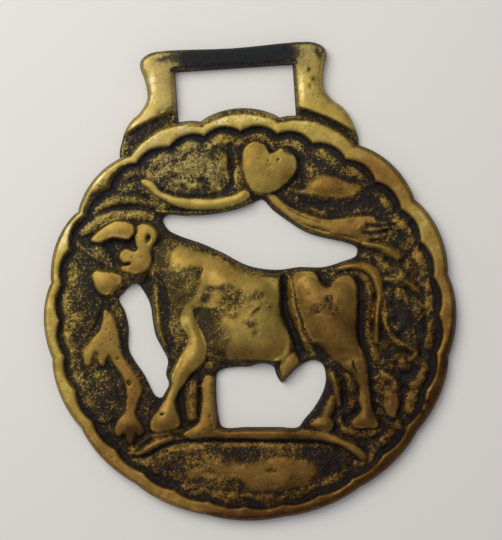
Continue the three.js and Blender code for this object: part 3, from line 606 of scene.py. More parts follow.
def makeBullLegs():
    nearFore = [
        [-11.3, 2.4], [-12.3, 1.3], [-12.8, 0], [-12.6, -1.3], [-11.8, -2.6], [-11.5, -4], [-12.2, -5.5],
        [-13.2, -7], [-14.2, -8.8], [-15, -10.5], [-15.2, -12], [-15.7, -13.4], [-16.7, -15], [-17.9, -16.5],
        [-18.9, -17.8], [-19.4, -19], [-19.2, -20], [-18.3, -20.4], [-16.8, -20.2], [-15.3, -20],
        [-14.3, -19.4], [-14.2, -18.4], [-14.6, -17], [-14.9, -15.6], [-14.7, -14.6], [-13.8, -13],
        [-12.6, -11.4], [-11.4, -10], [-10, -9], [-9, -7.8], [-8.5, -6], [-8.4, -4.6], [-9, -3], [-9.6, -1.6],
        [-10.2, 0], [-10.6, 1.6],
    ]
    farFore = [
        [-7.6, -11], [-8.8, -10.9], [-9.5, -12.2], [-9.6, -14.4], [-10, -17], [-10.6, -19.2], [-12.4, -20.4],
        [-13.5, -21.2], [-12.4, -22], [-10, -22.4], [-8, -22], [-7.5, -20.6], [-7.4, -17], [-7.4, -13],
    ]
    nearHind = [
        [14.8, -8], [16.5, -11], [17.8, -12], [18.5, -13], [19.1, -14.5], [19, -16], [18.8, -17.6],
        [19.1, -18.7], [18.2, -20], [17.3, -21.1], [17.6, -21.8], [19.2, -22.1], [21.8, -22.1], [21.8, -21],
        [21.2, -19.4], [20.8, -17], [20.6, -14], [20.4, -11.6], [20, -9.4], [18.6, -7.6],
    ]
    farHindHoof = [
        [9.8, -20.9], [11, -19.9], [13.2, -20], [13.7, -21.6], [12.6, -22.3], [10.8, -21.8],
    ]
    far, near, shine = bull["farLegLift"], bull["legLift"], bull["shine"]
    ridge([
        [-10.7, -11.4, 0.4, 0.6], [-11.5, -13, 0.9], [-11.9, -15.4, 1], [-11.9, -18, 0.8, 0.8],
    ], far * 1.2, 0)
    boss(farFore, far * 1.3, shine * 0.85, edge=0.7, skirt=0.3, swell=0.9)
    ridge([
        [14.2, -12, 0.5, 0.8], [14.7, -13.6, 0.5], [14.9, -15.4, 0.55], [15.2, -17.6, 0.4, 0.8],
    ], far * 1.2, shine * 0.6)
    ridge([
        [14, -16.4, 0.5, 0.8], [13.4, -18, 0.8], [12.6, -19.6, 0.7, 0.8],
    ], far * 1.2, shine * 0.6)
    boss(farHindHoof, bull["hoofLift"] * 0.9, shine=0.6, swell=0.7)
    boss(nearFore, near, shine, edge=0.6, swell=1, toneAndLight=0.05)
    boss(nearHind, near, shine * 0.8, edge=0.6, swell=1, toneAndLight=-0.08)
    ridge([
        [15.8, -11, 0.4, 0.7], [17.3, -12.8, 0.6], [17.7, -15, 0.8], [17.6, -18, 0.7, 0.8],
        [15.3, -19.4, 0.5, 0.6], [15.4, -21.6, 0.5, 0.6], [17, -22.8, 0.5, 0.7], [19.6, -23.2, 0.6, 0.7],
        [22, -23, 0.4, 0.5],
    ], far * 0.9, 0)


def makeBullHead():
    face = [
        [-19.7, 16.9], [-18.6, 17.6], [-17.2, 17.3], [-16.2, 16.3], [-16.1, 15], [-16.8, 13.8], [-17.3, 12.8],
        [-17.3, 11], [-17.7, 9.9], [-18.7, 9], [-20, 8.7], [-21.4, 8.9], [-22.9, 9.5], [-22.6, 10.1],
        [-21.3, 10.15], [-20.9, 10.45], [-21.3, 10.8], [-22.5, 10.95], [-23, 11.9], [-22.5, 12.9],
        [-21.4, 13.2], [-20.4, 12.8], [-19.7, 12.9], [-19.9, 14.2], [-20, 15.6],
    ]
    horn = [
        [-28, 15.2], [-26.9, 16.4], [-25.2, 17.6], [-23.5, 18.3], [-21.8, 18.3], [-20.3, 17.6], [-19.8, 16.8],
        [-20.3, 15.7], [-21.2, 15.1], [-22.5, 15.3], [-23.8, 15.6], [-25.4, 15.2], [-26.8, 14.8],
    ]
    muzzle = [
        [-28.2, 8.9], [-27.4, 9.6], [-25.8, 9.3], [-24, 8.9], [-22.9, 8], [-23.2, 7], [-24.4, 6.4],
        [-25.2, 5.4], [-26.4, 5.2], [-27.5, 6.2], [-28, 7.6],
    ]
    lift = bull["headLift"]
    ridge([
        [-19.4, 8.2, 0.8, 0.4], [-21.6, 8, 0.9, 0.5], [-23.8, 8, 0.8, 0.5],
    ], lift, 0.1)
    ridge([[-20.4, 9.6, 1.6, 0.5], [-19.2, 12, 1.9, 0.6], [-18.4, 14.6, 1.6, 0.5]], lift, 0, skirt=1)
    boss(face, lift, shine=0.84, edge=0.9, skirt=0.3, swell=1.3, toneAndLight=-0.3)
    boss(horn, lift, 0.86, edge=0.85, skirt=0.35, swell=1.2, toneAndLight=-0.25)
    boss(muzzle, lift * 0.95, shine=0.86, edge=0.8, swell=1.1, toneAndLight=-0.22)


makeBullBody()
makeBullTail()
makeBullLegs()
makeBullHead()
print("bull")

ground = {
    "barLift": 1.1,
    "cartoucheLift": 0.9,
    "shine": 0.8,
}


def makeGround():
    cartouche = [
        [-20.8, -26.8], [-16, -24.4], [-10, -23.3], [-2, -23.7], [6, -24.4], [12, -25.4], [16.4, -28],
        [13.4, -29.7], [8.6, -31.6], [3, -32.8], [-2.4, -32.2], [-8, -31.2], [-14, -29.8],
    ]
    wornFlat = [
        [-8.3, -27.8], [-6, -27], [-4.8, -26.4], [-3.5, -27.3], [0, -27], [3, -26.5], [5, -26.6], [8, -27.4],
        [9.8, -28.2], [10.2, -29.4], [9, -31], [7, -31.8], [5, -32.3], [2, -32.6], [-1, -32.4], [-3, -31.4],
        [-3.6, -30.2], [-6.4, -29.4], [-8, -29],
    ]
    wornLeft = [
        [-13.8, -27.9], [-11.4, -27.4], [-9.6, -28], [-10.4, -29.2], [-13, -29.4],
    ]
    lift, shine = ground["barLift"], ground["shine"]
    boss(cartouche, ground["cartoucheLift"], shine=0, edge=0.35, swell=2)
    patch(wornFlat, 0.78, soft=1.5, toneAndLight=-0.04)
    patch(wornLeft, 0.64, soft=1, toneAndLight=-0.06)
    ridge([
        [-12.2, -21.3, 0.5, 0.8], [-9, -21.4, 0.8], [-4, -21.7, 0.95], [2, -22.1, 1], [8, -22.7, 1],
        [12, -23.4, 0.8], [15, -24.8, 0.8], [17.5, -26.4, 0.9], [18.8, -27.3, 0.7, 0.9],
    ], lift, shine, edge=0.8)
    ridge([
        [-22, -24.5, 0.3, 0.6], [-20.5, -23.5, 0.5], [-18.4, -22.5, 0.5], [-15.8, -21.8, 0.4, 0.6],
    ], lift * 0.9, shine * 0.85, toneAndLight=-0.15)
    ridge([
        [-22.9, -23.4, 0.3, 0.6], [-21.2, -22.1, 0.3], [-19.6, -21.1, 0.3], [-17, -20.9, 0.3, 0.7],
        [-15, -20.5, 0.3, 0.6],
    ], lift * 0.7, shine * 0.4)


makeGround()
print("ground and cartouche")

# Cuts, pits, dark hollows, stains, gold-flecked places and strips, each where it shows, with tone shifts
# that are partly painted light and shade, and painted highlights. Places are (x, y, rx, ry, amount), or with
# the turn in degrees before the amount, and lines are stations of [x, y, half width].
marks = {
    "slits": [
        ([[6.4, 6, 0.5], [6.2, 1, 0.6], [6.5, -1, 0.7], [7.3, -3, 0.7], [8.1, -5, 0.8],
          [8.8, -7.6, 0.7]], 0.5),
        ([[-15.7, 6.6, 0.6], [-15.3, 3, 0.7], [-15.5, -1, 0.6], [-14.6, -5, 0.6]], 0.3),
        ([[-23, -24.8, 0.2], [-20.5, -24.6, 0.25], [-17, -23, 0.25], [-10, -22.4, 0.3], [-5, -22.8, 0.3],
          [0, -23.2, 0.3], [5, -23.6, 0.3], [10, -24, 0.3], [15, -25.5, 0.3], [18.3, -28.1, 0.2]], 0.4),
        ([[-1.7, 31, 0.4], [-1.7, 27, 0.5], [-1.7, 24, 0.4]], 0.3),
        ([[-14, 20.1, 0.12], [-11, 19.6, 0.16], [-8, 19.3, 0.14], [-5, 19.4, 0.1]], 0.2),
        ([[9.6, 16.6, 0.02], [11.5, 15.5, 0.1], [13.6, 14.6, 0.12], [16, 13.7, 0.06], [18.5, 13, 0.12],
          [20.6, 12.3, 0.04]], 0.2),
        ([[8.4, 18.6, 0.02], [10, 17.5, 0.08], [12, 16.5, 0.06], [14, 15.8, 0.02]], 0.2),
        ([[22.4, 14.8, 0.2], [25, 14.4, 0.25], [27.4, 14.6, 0.2]], 0.3),
        ([[21.6, 13.4, 0.2], [23.4, 13.1, 0.3], [25.8, 13.5, 0.25]], 0.3),
        ([[18.4, 6.8, 0.1], [20.6, 6.5, 0.15], [22.2, 5.3, 0.18], [22.8, 3.5, 0.15], [23, 1, 0.12]], 0.3),
        ([[-19.8, 17.2, 0.12], [-19.8, 16.2, 0.16], [-20.4, 15.2, 0.14]], 0.5),
        ([[8.3, 29.3, 0.08], [9.2, 28.8, 0.12], [9.8, 28.4, 0.08]], 0.3),
    ],
    "pits": [
        (-17.6, 14.9, 0.28, 0.6, -12, 0.9), (-19.2, 11.7, 0.12, 0.12, 0.15), (5.2, 27.7, 0.16, 0.2, 0.25),
        (5.5, 26.8, 0.12, 0.16, 0.2), (7, 27.7, 0.18, 0.16, 0.25), (-22.9, -11.2, 0.3, 0.4, 20, 0.4),
        (18.2, -10.4, 0.2, 0.8, 10, 0.25), (18.6, -11.6, 0.16, 0.4, 20, 0.2), (-17.3, -17.2, 0.45, 0.2, 0.2),
        (26.4, -3.1, 0.7, 0.9, 0.6), (2, -28.8, 0.9, 0.4, 0.2), (-8.5, -18.2, 0.16, 0.2, 0.2),
        (-8.3, -20, 0.16, 0.16, 0.2), (-25.6, -3, 0.16, 0.16, 0.2), (-26.4, -1.2, 0.14, 0.14, 0.2),
        (-24.6, -6.6, 0.16, 0.2, 0.2),
    ],
    "hollows": [
        (-26.4, 21.8, 2.6, 0.8, 30, 0.5), (-22, 20.9, 4, 0.5, 4, 0.4), (-11.8, 7.8, 3, 1.1, 0.35),
        (-8, -1.6, 1.4, 3.2, 20, 0.36), (11.8, -7.8, 1.8, 1, -40, 0.4), (20.3, 0.5, 0.6, 4.5, 0.5),
        (19.6, -5.4, 0.5, 2.2, 15, 0.5), (21.4, -14, 0.5, 6.5, 2, 0.5), (-13.4, -15, 0.8, 4, 12, 0.5),
        (-24.5, 12.4, 1.6, 2.6, 0.4), (-21, 14.3, 1.3, 0.7, 0.4), (-15.7, 12, 0.9, 3, -8, 0.5),
        (-20, 7.6, 3, 0.6, 0.3), (-28, 4.6, 1.6, 5, 8, 0.3), (-28.7, -7, 0.5, 1, 0.5),
        (-26.6, -7.4, 0.5, 0.8, 0.4), (12.6, 19, 6, 0.8, -4, 0.4), (21, 18.8, 4, 0.8, 20, 0.4),
        (16.2, -15, 0.4, 3, -8, 0.4), (-18.4, -16.2, 1, 1.6, 30, 0.3), (-20.4, -21.6, 2.2, 0.4, 30, 0.3),
        (-25.2, -12.8, 0.5, 4, 12, 0.3), (11.2, 24, 0.6, 3, 0.3), (28.6, 12, 1.6, 1, 30, 0.3),
        (26.2, 7.8, 1.2, 0.5, -30, 0.3), (26.8, -13, 1.2, 1.4, 0.3), (27, -17.6, 0.8, 1.8, 0.3),
        (29.6, 1.8, 1.4, 0.5, -30, 0.3), (28.5, 3.4, 1.2, 0.5, -10, 0.2), (-23.5, 25.2, 2.2, 0.8, 35, 0.3),
    ],
    "stains": [
        (-2.9, 2.7, 2.9, 2, 10, 0.86), (-7.9, 3.4, 1.1, 1, 0.8), (-6.8, 5, 1, 0.7, 0.7),
        (-4.2, 5.1, 1.6, 0.8, 0.7), (1.8, 3.2, 1.3, 1, 0.7), (-0.2, -1.8, 1.3, 1.1, 0.6),
        (1.2, 0.6, 1.5, 0.5, 30, 0.6), (-3.4, 0.2, 1.4, 0.7, 0.55), (-6, 0.9, 1.6, 0.7, 0.72),
        (0.6, -3.4, 1, 0.8, 0.44), (-6, -7, 1.6, 0.8, 0.4), (3.6, 1, 0.6, 0.5, 0.5),
        (-9.8, 12.6, 0.5, 0.4, 0.5), (-35.4, 12.6, 0.8, 1.6, -15, 0.34), (22.4, 14.4, 2.4, 0.5, 10, 0.6),
        (24, 12.8, 2.2, 0.6, -10, 0.6), (25.6, 15.2, 1.2, 1.4, 0.45), (19.6, 15.6, 1.4, 0.4, 0.3),
        (-12.6, 9.6, 1, 0.6, 0.4), (-8.2, 8.6, 0.5, 0.8, 0.4), (-2, -6.6, 2, 1, 0.3), (3, -4, 1.6, 1, 0.25),
        (-10.4, 11.4, 1.4, 0.6, -20, 0.25), (12.2, 0, 1, 0.8, 0.9), (14.4, 1.4, 0.7, 1.1, -20, 0.9),
        (15.2, -0.6, 0.9, 0.9, 0.9), (13.4, -0.2, 2.8, 1.6, 0.34), (11, 2.6, 1.4, 1, 0.2),
        (12.4, -7.2, 1, 2.4, 40, 0.5), (0.8, 47.1, 8.6, 2.6, -1, 2.4), (13.6, 43.8, 0.4, 0.6, 0.6),
        (14.3, 42, 0.4, 0.7, 10, 0.6), (13.7, 40.6, 0.3, 0.5, 0.5), (15.8, 46.6, 1, 1.4, 30, 0.6),
        (-12.6, 47.4, 2.4, 0.8, 10, 0.42), (-12.6, 37.2, 3, 1.4, 25, 0.8), (-25.3, 25.3, 1.3, 0.5, 45, 0.8),
        (-27.7, 23, 0.5, 1.4, -35, 0.8), (-28.6, 21.2, 0.5, 0.9, -20, 0.6), (35.2, -11.8, 0.5, 1.4, -15, 0.9),
        (31.2, -18.4, 0.5, 0.7, 0.8), (30.4, -20, 0.4, 0.4, 0.8), (20, 31.6, 1, 0.8, -40, 0.5),
        (8.4, 24.4, 1.2, 0.6, 40, 0.2), (-23.4, -19.4, 1, 0.9, 0.3), (-21.8, -12, 0.5, 0.8, 0.2),
        (-27.6, -3.6, 0.6, 0.3, 0.3), (18, 21.6, 1.2, 0.5, 0.3), (5.5, -30.4, 0.7, 0.4, 0.4),
    ],
    "gilding": [
        (-7, 26.4, 4.6, 3.4, 0.52), (-13, 27.6, 3, 2.2, 20, 0.2), (-14, 11.4, 1.6, 2.6, 0.42),
        (-3, -28, 14, 3, 0.14), (28, -3, 4, 9, 0.1), (28, 12, 3, 6, 30, 0.1), (-8, -3, 2, 4, 20, 0.1),
        (-2, 2, 5, 4, 0.26), (13.5, 0, 4, 3, 0.2), (30, 4, 3, 12, 0.1), (25, -18, 4, 4, 0.12),
        (-11, 5.6, 2.6, 1.8, 30, 0.34), (-13.4, 1, 1.2, 3, 0.24), (-5.6, -1.6, 1.4, 3, 20, 0.34),
        (-31.4, 9.2, 1.1, 1.8, 0.36), (-28, 13, 2.4, 1.1, -20, 0.34), (20, -28, 2.2, 1.6, 0.34),
        (12.6, 25.4, 1.8, 1.2, 0.3), (15, 29.2, 1.2, 0.6, -20, 0.4), (21.6, 9.2, 0.8, 0.5, 0.6),
        (14, -1.6, 2.2, 0.7, 0.3), (-33, -8, 1, 4, 0.24), (-29, -22, 2, 1.4, -45, 0.1),
        (28.2, 5.3, 0.6, 0.5, 0.5), (24, 8.2, 0.5, 0.4, 0.4), (23.7, -12.7, 0.5, 0.5, 0.5),
        (-8.3, -33, 1.6, 0.7, 0.3), (-28, -13, 3, 4, -0.2), (-30, 2, 2.4, 5, 8, -0.12),
        (-16.4, 35.6, 5, 1.6, 30, -0.2), (16.6, 34.6, 4, 1.2, -30, -0.1), (20, 23, 4, 3, -0.1),
        (-15.6, 10, 2, 4, -0.16), (-18, -28, 4, 3, -0.16), (13, -28.6, 3, 2, -0.12),
        (0.6, 37.6, 5.4, 0.8, -0.4), (-33, -12, 1.2, 4, 20, 0.14), (23, 26, 3, 2, -45, 0.1),
        (27.6, -13.4, 1.4, 1.4, -0.2), (29, -3.6, 1.2, 2.4, -0.1), (26.6, 7.6, 1.2, 0.8, -0.14),
        (-16.6, 36.6, 4, 1.2, 35, 0.1), (16.4, 35, 4, 1, -35, 0.1), (0.8, 47.2, 10, 2.4, -1.3),
        (-10.6, -23.8, 2, 0.5, 0.3), (-8.4, 0, 1.6, 2.4, 0.2),
    ],
    # Tone shifts, partly the casting's own browns and golds and partly painted light and shade: the barrel
    # and the hind leg's top painted lighter where they turn from the light, the neck and the lower barrel
    # darker.
    "toneAndLightSpots": [
        (27, 23, 6, 5, -45, -0.26), (36.5, 2, 2, 7, -0.12), (-36, 4, 2, 9, -0.1),
        (32.5, 15.5, 2, 3, 30, 0.14), (-17, -18.6, 3, 2.4, -0.22), (-8.6, -16, 2, 6, -0.1),
        (-23.4, -19.6, 3, 2, -0.08), (16, -5, 4, 4, -0.12), (-11, -21.6, 4, 1.4, -0.08),
        (12, -21, 3, 2, -0.06), (-33, 18, 1.4, 3, -30, 0.2), (-14.6, 44, 1.6, 3, 0.15), (22, 6, 3, 2.4, -0.1),
        (8.6, 24.6, 2.4, 2, -0.16), (-12.6, -3, 1.2, 6, 20, 0.1), (1.6, 1, 5, 4, -20, 0.14),
        (-6.8, 8.8, 3.8, 2.8, -30, -0.3), (-12.6, 11.4, 2.4, 2, -0.3), (2.4, 29, 5, 5, -0.44),
        (-3.4, 2.8, 4.6, 2.4, -0.1), (13.4, -0.4, 4.4, 4.4, -0.14), (-2, 7.4, 5, 2.6, -30, -0.14),
        (17, -9.2, 3.4, 2.4, 10, 0.24), (0, -7.2, 7, 1.8, -0.24), (17, -14, 3, 7, -0.12),
        (2, -22, 12, 1.4, -4, -0.22), (-26, -22, 6, 8, 35, -0.16), (-7, 27, 6, 4, 0.25),
        (24, 26, 5, 4, -45, -0.16), (16, 22, 7, 3, -0.5), (17, 14.6, 6, 2.4, -20, -0.16),
        (1, -29, 13, 3, 0.14), (-30, -12, 4, 6, 0.1),
    ],
    # Painted highlights where light catches edges: each raises the polish towards the pale top of the shades.
    "paintedGlints": [
        (-2, 35.8, 10, 1.2, 0.22), (-16, 33, 5, 1, 25, 0.16), (-14.9, 43.4, 0.5, 3, 0.4),
        (12.2, 40.4, 0.4, 3.6, 0.34), (-15.4, 38, 0.6, 2, -30, 0.2), (-23.4, 15.6, 2, 0.5, 0.6),
        (-12.6, -0.4, 0.5, 1.6, 0.1), (-11.9, -4.2, 0.4, 1.6, -10, 0.3), (-13.8, -8.4, 0.4, 2.4, -30, 0.4),
        (-32.2, 16.8, 0.5, 2, -28, 0.4), (-26.4, 26, 2.4, 0.5, 42, 0.26), (1.2, 28.6, 0.8, 2, 0.16),
        (10.4, 5.6, 1.4, 0.8, 0.12), (33, 11, 0.8, 3, 22, 0.12), (31.8, -16.4, 0.3, 2.4, -30, 0.3),
    ],
    "seams": [
        ([[7.8, 5, 0.4], [7.9, 1, 0.5], [8.7, -2.5, 0.5], [9.6, -5.4, 0.5], [11, -8, 0.5]], 0.4),
        ([[-16.9, 6.2, 0.2], [-16.8, 2, 0.2], [-16.6, -2, 0.2], [-15.9, -4.6, 0.2]], 0.6),
        ([[-30, 16.6, 0.5], [-26, 18.6, 0.8], [-22, 19.6, 0.9], [-17, 18.9, 0.7]], 0.34),
        ([[-27, 20.9, 0.3], [-22, 22.4, 0.5], [-18, 21.6, 0.5], [-14, 20.5, 0.3]], 0.2),
        ([[-21.5, 24, 0.5], [-19, 24.6, 0.6], [-14.4, 21.7, 0.4]], 0.2),
        ([[-21.4, 26.5, 0.5], [-19.5, 27.4, 0.7], [-17.5, 28.4, 0.5]], 0.2),
        ([[-11.1, -12, 0.5], [-11.9, -15.4, 0.9], [-11.9, -18.2, 0.6]], 0.45),
        ([[16.6, -12, 0.4], [17.6, -14.4, 0.7], [17.7, -18, 0.5]], 0.4),
        ([[14.9, -19.4, 0.3], [15.3, -21.6, 0.4], [17, -22.9, 0.4], [19.6, -23.3, 0.5],
          [22, -23, 0.3]], 0.42),
        ([[18, 6.2, 0.2], [20.6, 5.8, 0.4], [22, 4.2, 0.4], [22.4, 2, 0.4], [22.2, -1, 0.4],
          [21.4, -3.4, 0.5], [21.5, -6, 0.6], [22.3, -9, 0.5]], 0.42),
        ([[25.6, -0.9, 0.3], [24.7, -2.2, 0.3], [24.9, -4.4, 0.3], [26.2, -6.4, 0.4], [28.5, -7.9, 0.4],
          [29.8, -9.2, 0.3], [28.8, -10.2, 0.3]], 0.45),
        ([[22.4, -18.6, 0.3], [22.9, -20.2, 0.4], [24.2, -21.6, 0.4], [26.2, -22.5, 0.4]], 0.3),
        ([[24.6, 5.4, 0.3], [24.3, 2, 0.4], [24.3, -1, 0.4]], 0.4),
        ([[32.6, 8, 0.3], [33, 4, 0.4], [32.8, 0, 0.4], [32.6, -4, 0.4], [31.6, -8, 0.3]], 0.2),
        ([[28.4, 9, 0.3], [26.6, 10.6, 0.4], [25, 11, 0.3]], 0.3),
        ([[26.6, -18.8, 0.3], [28.6, -16.4, 0.4], [30, -13.6, 0.4], [31.2, -10.4, 0.3]], 0.35),
        ([[-9.8, -9.6, 0.3], [-8.4, -8.9, 0.4], [-6.4, -8.3, 0.3]], 0.5),
        ([[-21.8, -26.2, 0.3], [-19.8, -25, 0.4], [-17, -23.9, 0.4], [-12, -23.2, 0.5], [-6, -23.6, 0.4],
          [0, -24, 0.4], [6, -24.5, 0.4], [12, -25, 0.4], [15.4, -26.6, 0.4], [17.3, -28.3, 0.4]], 0.42),
        ([[-16, -31, 0.3], [-14, -31.8, 0.3], [-12, -32.2, 0.3], [-10.2, -31.8, 0.3]], 0.6),
        ([[-8.8, -32.5, 0.3], [-7, -33.8, 0.3], [-5, -34, 0.3], [-3.4, -33, 0.3]], 0.65),
        ([[-2.5, -33, 0.3], [1, -34.8, 0.3], [3, -34.3, 0.3], [4.5, -33.3, 0.3]], 0.65),
        ([[5.3, -34, 0.3], [8.3, -33.4, 0.3], [9.5, -32.1, 0.3]], 0.6),
        ([[12, -32, 0.3], [14, -31, 0.3], [15.5, -29.3, 0.3]], 0.6),
        ([[9, 20.3, 0.4], [11, 19, 0.4], [14, 17.7, 0.4], [19, 17, 0.4], [23.5, 17.6, 0.4]], 0.3),
        ([[-7.8, -22.9, 0.2], [-2, -23.3, 0.2], [6, -24, 0.2]], 0.2),
        ([[-13.6, -20.3, 0.2], [-15.6, -20.5, 0.3], [-17.4, -20.8, 0.3], [-19, -21, 0.2]], 0.5),
        ([[-21.9, 8, 0.3], [-17.4, 7.4, 0.4]], -0.2),
    ],
}
toneAndLightField += spotted(marks["toneAndLightSpots"])
for stations, amount in marks["seams"]:
    streak(stations, amount)
for stations, depth in marks["slits"]:
    groove(stations, depth)
for *place, depth in marks["pits"]:
    hole = spot(*place)
    height -= depth * hole
    polishAndGlints *= 1 - np.clip(1.4 * hole, 0, 1)
for *place, depth in marks["hollows"]:
    dip = depth * spot(*place)
    height -= 0.7 * dip * (1 - smooth(0.4, 0.9, polishAndGlints))
    glitter -= 0.8 * dip
for *place, amount in marks["stains"]:
    polishAndGlints *= 1 - np.clip(1.3 * amount * spot(*place), 0, min(1, 0.45 + 0.35 * amount))
glitter += spotted(marks["gilding"])

# How the finish, the painted light and shade, and the small relief vary over the casting, with places as
# spots.
weather = {
    "toneMiddle": 0.54,
    "paintedLightUp": 0.011,
    "paintedLightRight": -0.006,
    "toneMottle": 0.05,
    "toneShare": 0.75,
    "toneMost": 0.78,
    "lowRimBand": (34.6, 36.2),
    "lowRimShade": [(2, -37, 11, 5, 0.35)],
    "barTone": [(0.8, 47.2, 9, 1.8, 0.3)],
    "barSmooth": [(0.5, 47, 9, 3, 0.7)],
    "barDull": [(0.8, 47.2, 8, 2, 0.4)],
    "barBare": [(1, 47.4, 9.4, 2.4, 1.6)],
    "melt": [(-9.4, 9.6, 4.4, 3, 2), (-10.2, 4.6, 2.6, 2.4, 1.2), (-14, 3, 2, 5, 1),
             (16.4, -9, 3.4, 1.6, 1.3), (-11.2, 1.4, 1.6, 1.2, 1.2)],
    "meltReach": 1.7,
    "lumpsAll": 0.6,
    "lumps": [(29, 2, 6, 14, 1), (26, -18, 5, 6, 1), (-9, 27, 8, 5, 1.1), (-13, 3, 3, 9, 0.5)],
    "fleckPatches": [(-9, 27, 8, 5, 0.3), (28, 0, 6, 20, 0.16)],
    "grainLift": 0.1,
    "lumpLift": (0.08, 0.06),
    "swellLift": 0.02,
    "steep": (1.2, 2.6),
    "windowDark": (0.1, 0.7),
    "wallGlitter": 0.36,
    "wallSoftening": 0.45,
}
seed = casting["seed"]
# Painted light: the tone rises towards the top and the left, where the key lamp stands, and falls towards the
# bottom and the right.
toneAndLightField += weather["toneMiddle"] + weather["paintedLightUp"] * Y + weather["paintedLightRight"] * X
toneAndLightField += weather["toneMottle"] * grainOf(1.5, seed + 8)
# Painted shade along the lower rim.
toneAndLightField -= smooth(*weather["lowRimBand"], radius) * spotted(weather["lowRimShade"])
toneAndLightField = np.clip(weather["toneShare"] * toneAndLightField, 0, weather["toneMost"]) + spotted(weather["barTone"])
# The painted highlights are laid on the polished places only.
for *place, amount in marks["paintedGlints"]:
    polishAndGlints += amount * spot(*place) * smooth(0.5, 0.8, polishAndGlints)

# Grain of the cast ground, smooth swells on the worn forms, and the rounded edges of the metal.
grains = 0.6 * grainOf(0.24, seed) + 0.5 * grainOf(0.5, seed + 1)
fineLumps, smallLumps = weather["lumpLift"]
lumps = fineLumps * grainOf(0.75, seed + 3) + smallLumps * grainOf(0.42, seed + 4)
rough = 1 - smooth(0.25, 0.75, polishAndGlints)
height = blurred(height, casting["softening"])
height += np.clip(spotted(weather["melt"]), 0, 1) * (blurred(height, weather["meltReach"]) - height)
glitter += 0.12 * grainOf(0.9, seed + 5) + 0.1 * grainOf(2.4, seed + 6)
glitter += spotted(weather["fleckPatches"]) * grainOf(0.55, seed + 7)
rough = rough * (1 - spotted(weather["barSmooth"]))
height += rough * (weather["grainLift"] * grains + (weather["lumpsAll"] + spotted(weather["lumps"])) * lumps)
height += weather["swellLift"] * (1 - rough) * grainOf(1.4, seed + 2)
slopeY, slopeX = np.gradient(height, casting["spacing"])
polishAndGlints *= 1 - 0.85 * smooth(*weather["steep"], np.hypot(slopeX, slopeY))
shoulder = np.clip(metal / casting["edgeRound"], 0, 1)
aboveEdge = np.maximum(height, 0.9) - casting["edgeStart"]
height = casting["edgeStart"] + aboveEdge * np.sqrt(1 - (1 - shoulder) ** 2)
polishAndGlints *= smooth(*weather["windowDark"], windows)
glitter -= 0.45 * (1 - smooth(0.5, 1.7, windows))
# Raised points are lighter and sunken points darker: partly patina in the hollows, partly painted shade.
relief = np.minimum(height, casting["fieldTop"] + casting["proudest"])
prominence = (relief - blurred(relief, 1.1)) / 0.7 + (relief - blurred(relief, 0.35)) / 0.4
beside = 1 - smooth(0, 0.6, metal)
prominence = np.clip(0.5 + 0.5 * prominence * (1 - beside), 0, 1)
glitter += (weather["wallGlitter"] - glitter) * beside
polishAndGlints += beside * (blurred(polishAndGlints, weather["wallSoftening"]) - polishAndGlints)
polishAndGlints -= spotted(weather["barDull"])
bare = np.clip(spotted(weather["barBare"]), 0, 1)
glitter = np.clip(glitter, 0, 0.92) * (1 - bare) - 0.5 * bare

# The sheet takes its heights and its finish with painted light, then is cut to the outline and given walls
# and a back.
points = np.stack([X, Y, height], axis=-1)
sheet.vertices.foreach_set("co", points.ravel())
finishAndLight = sheet.attributes.new("finishAndLight", "FLOAT_COLOR", "POINT")
colours = np.stack([np.clip(polishAndGlints, -0.4, 1.6), glitter, np.clip(toneAndLightField, 0, 1), prominence], axis=-1)
finishAndLight.data.foreach_set("color", colours.ravel())
sheet.polygons.foreach_set("select", np.zeros(len(sheet.polygons), bool))
sheet.edges.foreach_set("select", np.zeros(len(sheet.edges), bool))
sheet.vertices.foreach_set("select", (metal < -0.45 * casting["spacing"]).ravel())
bpy.context.tool_settings.mesh_select_mode = (True, False, False)
bpy.ops.object.mode_set(mode="EDIT")
bpy.ops.mesh.delete(type="VERT")
bpy.ops.mesh.select_all(action="DESELECT")
bpy.ops.mesh.select_non_manifold(extend=False, use_wire=False, use_boundary=True,
                                 use_multi_face=False, use_non_contiguous=False, use_verts=False)
bpy.ops.object.mode_set(mode="OBJECT")


def readVertices(mesh):
    places = np.empty(len(mesh.vertices) * 3)
    mesh.vertices.foreach_get("co", places)
    chosen = np.empty(len(mesh.vertices), bool)
    mesh.vertices.foreach_get("select", chosen)
    return places.reshape(-1, 3), chosen


slopeY, slopeX = np.gradient(metal, casting["tall"] / rows, casting["across"] / columns)
places, onEdge = readVertices(sheet)
r = np.round((places[:, 1] - casting["low"]) / casting["tall"] * rows).astype(int)
c = np.round((places[:, 0] - casting["left"]) / casting["across"] * columns).astype(int)
steep = np.maximum(slopeX**2 + slopeY**2, 0.25)
places[onEdge, 0] -= (metal * slopeX / steep)[r, c][onEdge]
places[onEdge, 1] -= (metal * slopeY / steep)[r, c][onEdge]
places[onEdge, 2] = casting["edgeStart"]
sheet.vertices.foreach_set("co", places.ravel())
bpy.ops.object.mode_set(mode="EDIT")
bpy.ops.mesh.extrude_edges_move(TRANSFORM_OT_translate={"value": (0, 0, -casting["edgeStart"])})
bpy.ops.mesh.fill(use_beauty=False)
bpy.ops.mesh.select_all(action="SELECT")
bpy.ops.mesh.normals_make_consistent(inside=False)
bpy.ops.object.mode_set(mode="OBJECT")

# The flat back and the foot of the walls have one even finish.
places, chosen = readVertices(sheet)
shades = np.empty(len(sheet.vertices) * 4)
sheet.attributes["finishAndLight"].data.foreach_get("color", shades)
shades = shades.reshape(-1, 4)
shades[places[:, 2] < 0.5 * casting["edgeStart"]] = casting["backFinish"]
sheet.attributes["finishAndLight"].data.foreach_set("color", shades.ravel())
brass.scale = (mm, mm, mm)
bpy.ops.object.transform_apply(location=True, rotation=True, scale=True)
bpy.ops.object.shade_smooth_by_angle(angle=math.radians(70))
triangles = sum(len(face.vertices) - 2 for face in sheet.polygons)
print("cast sheet:", len(sheet.vertices), "vertices,", triangles, "triangles")


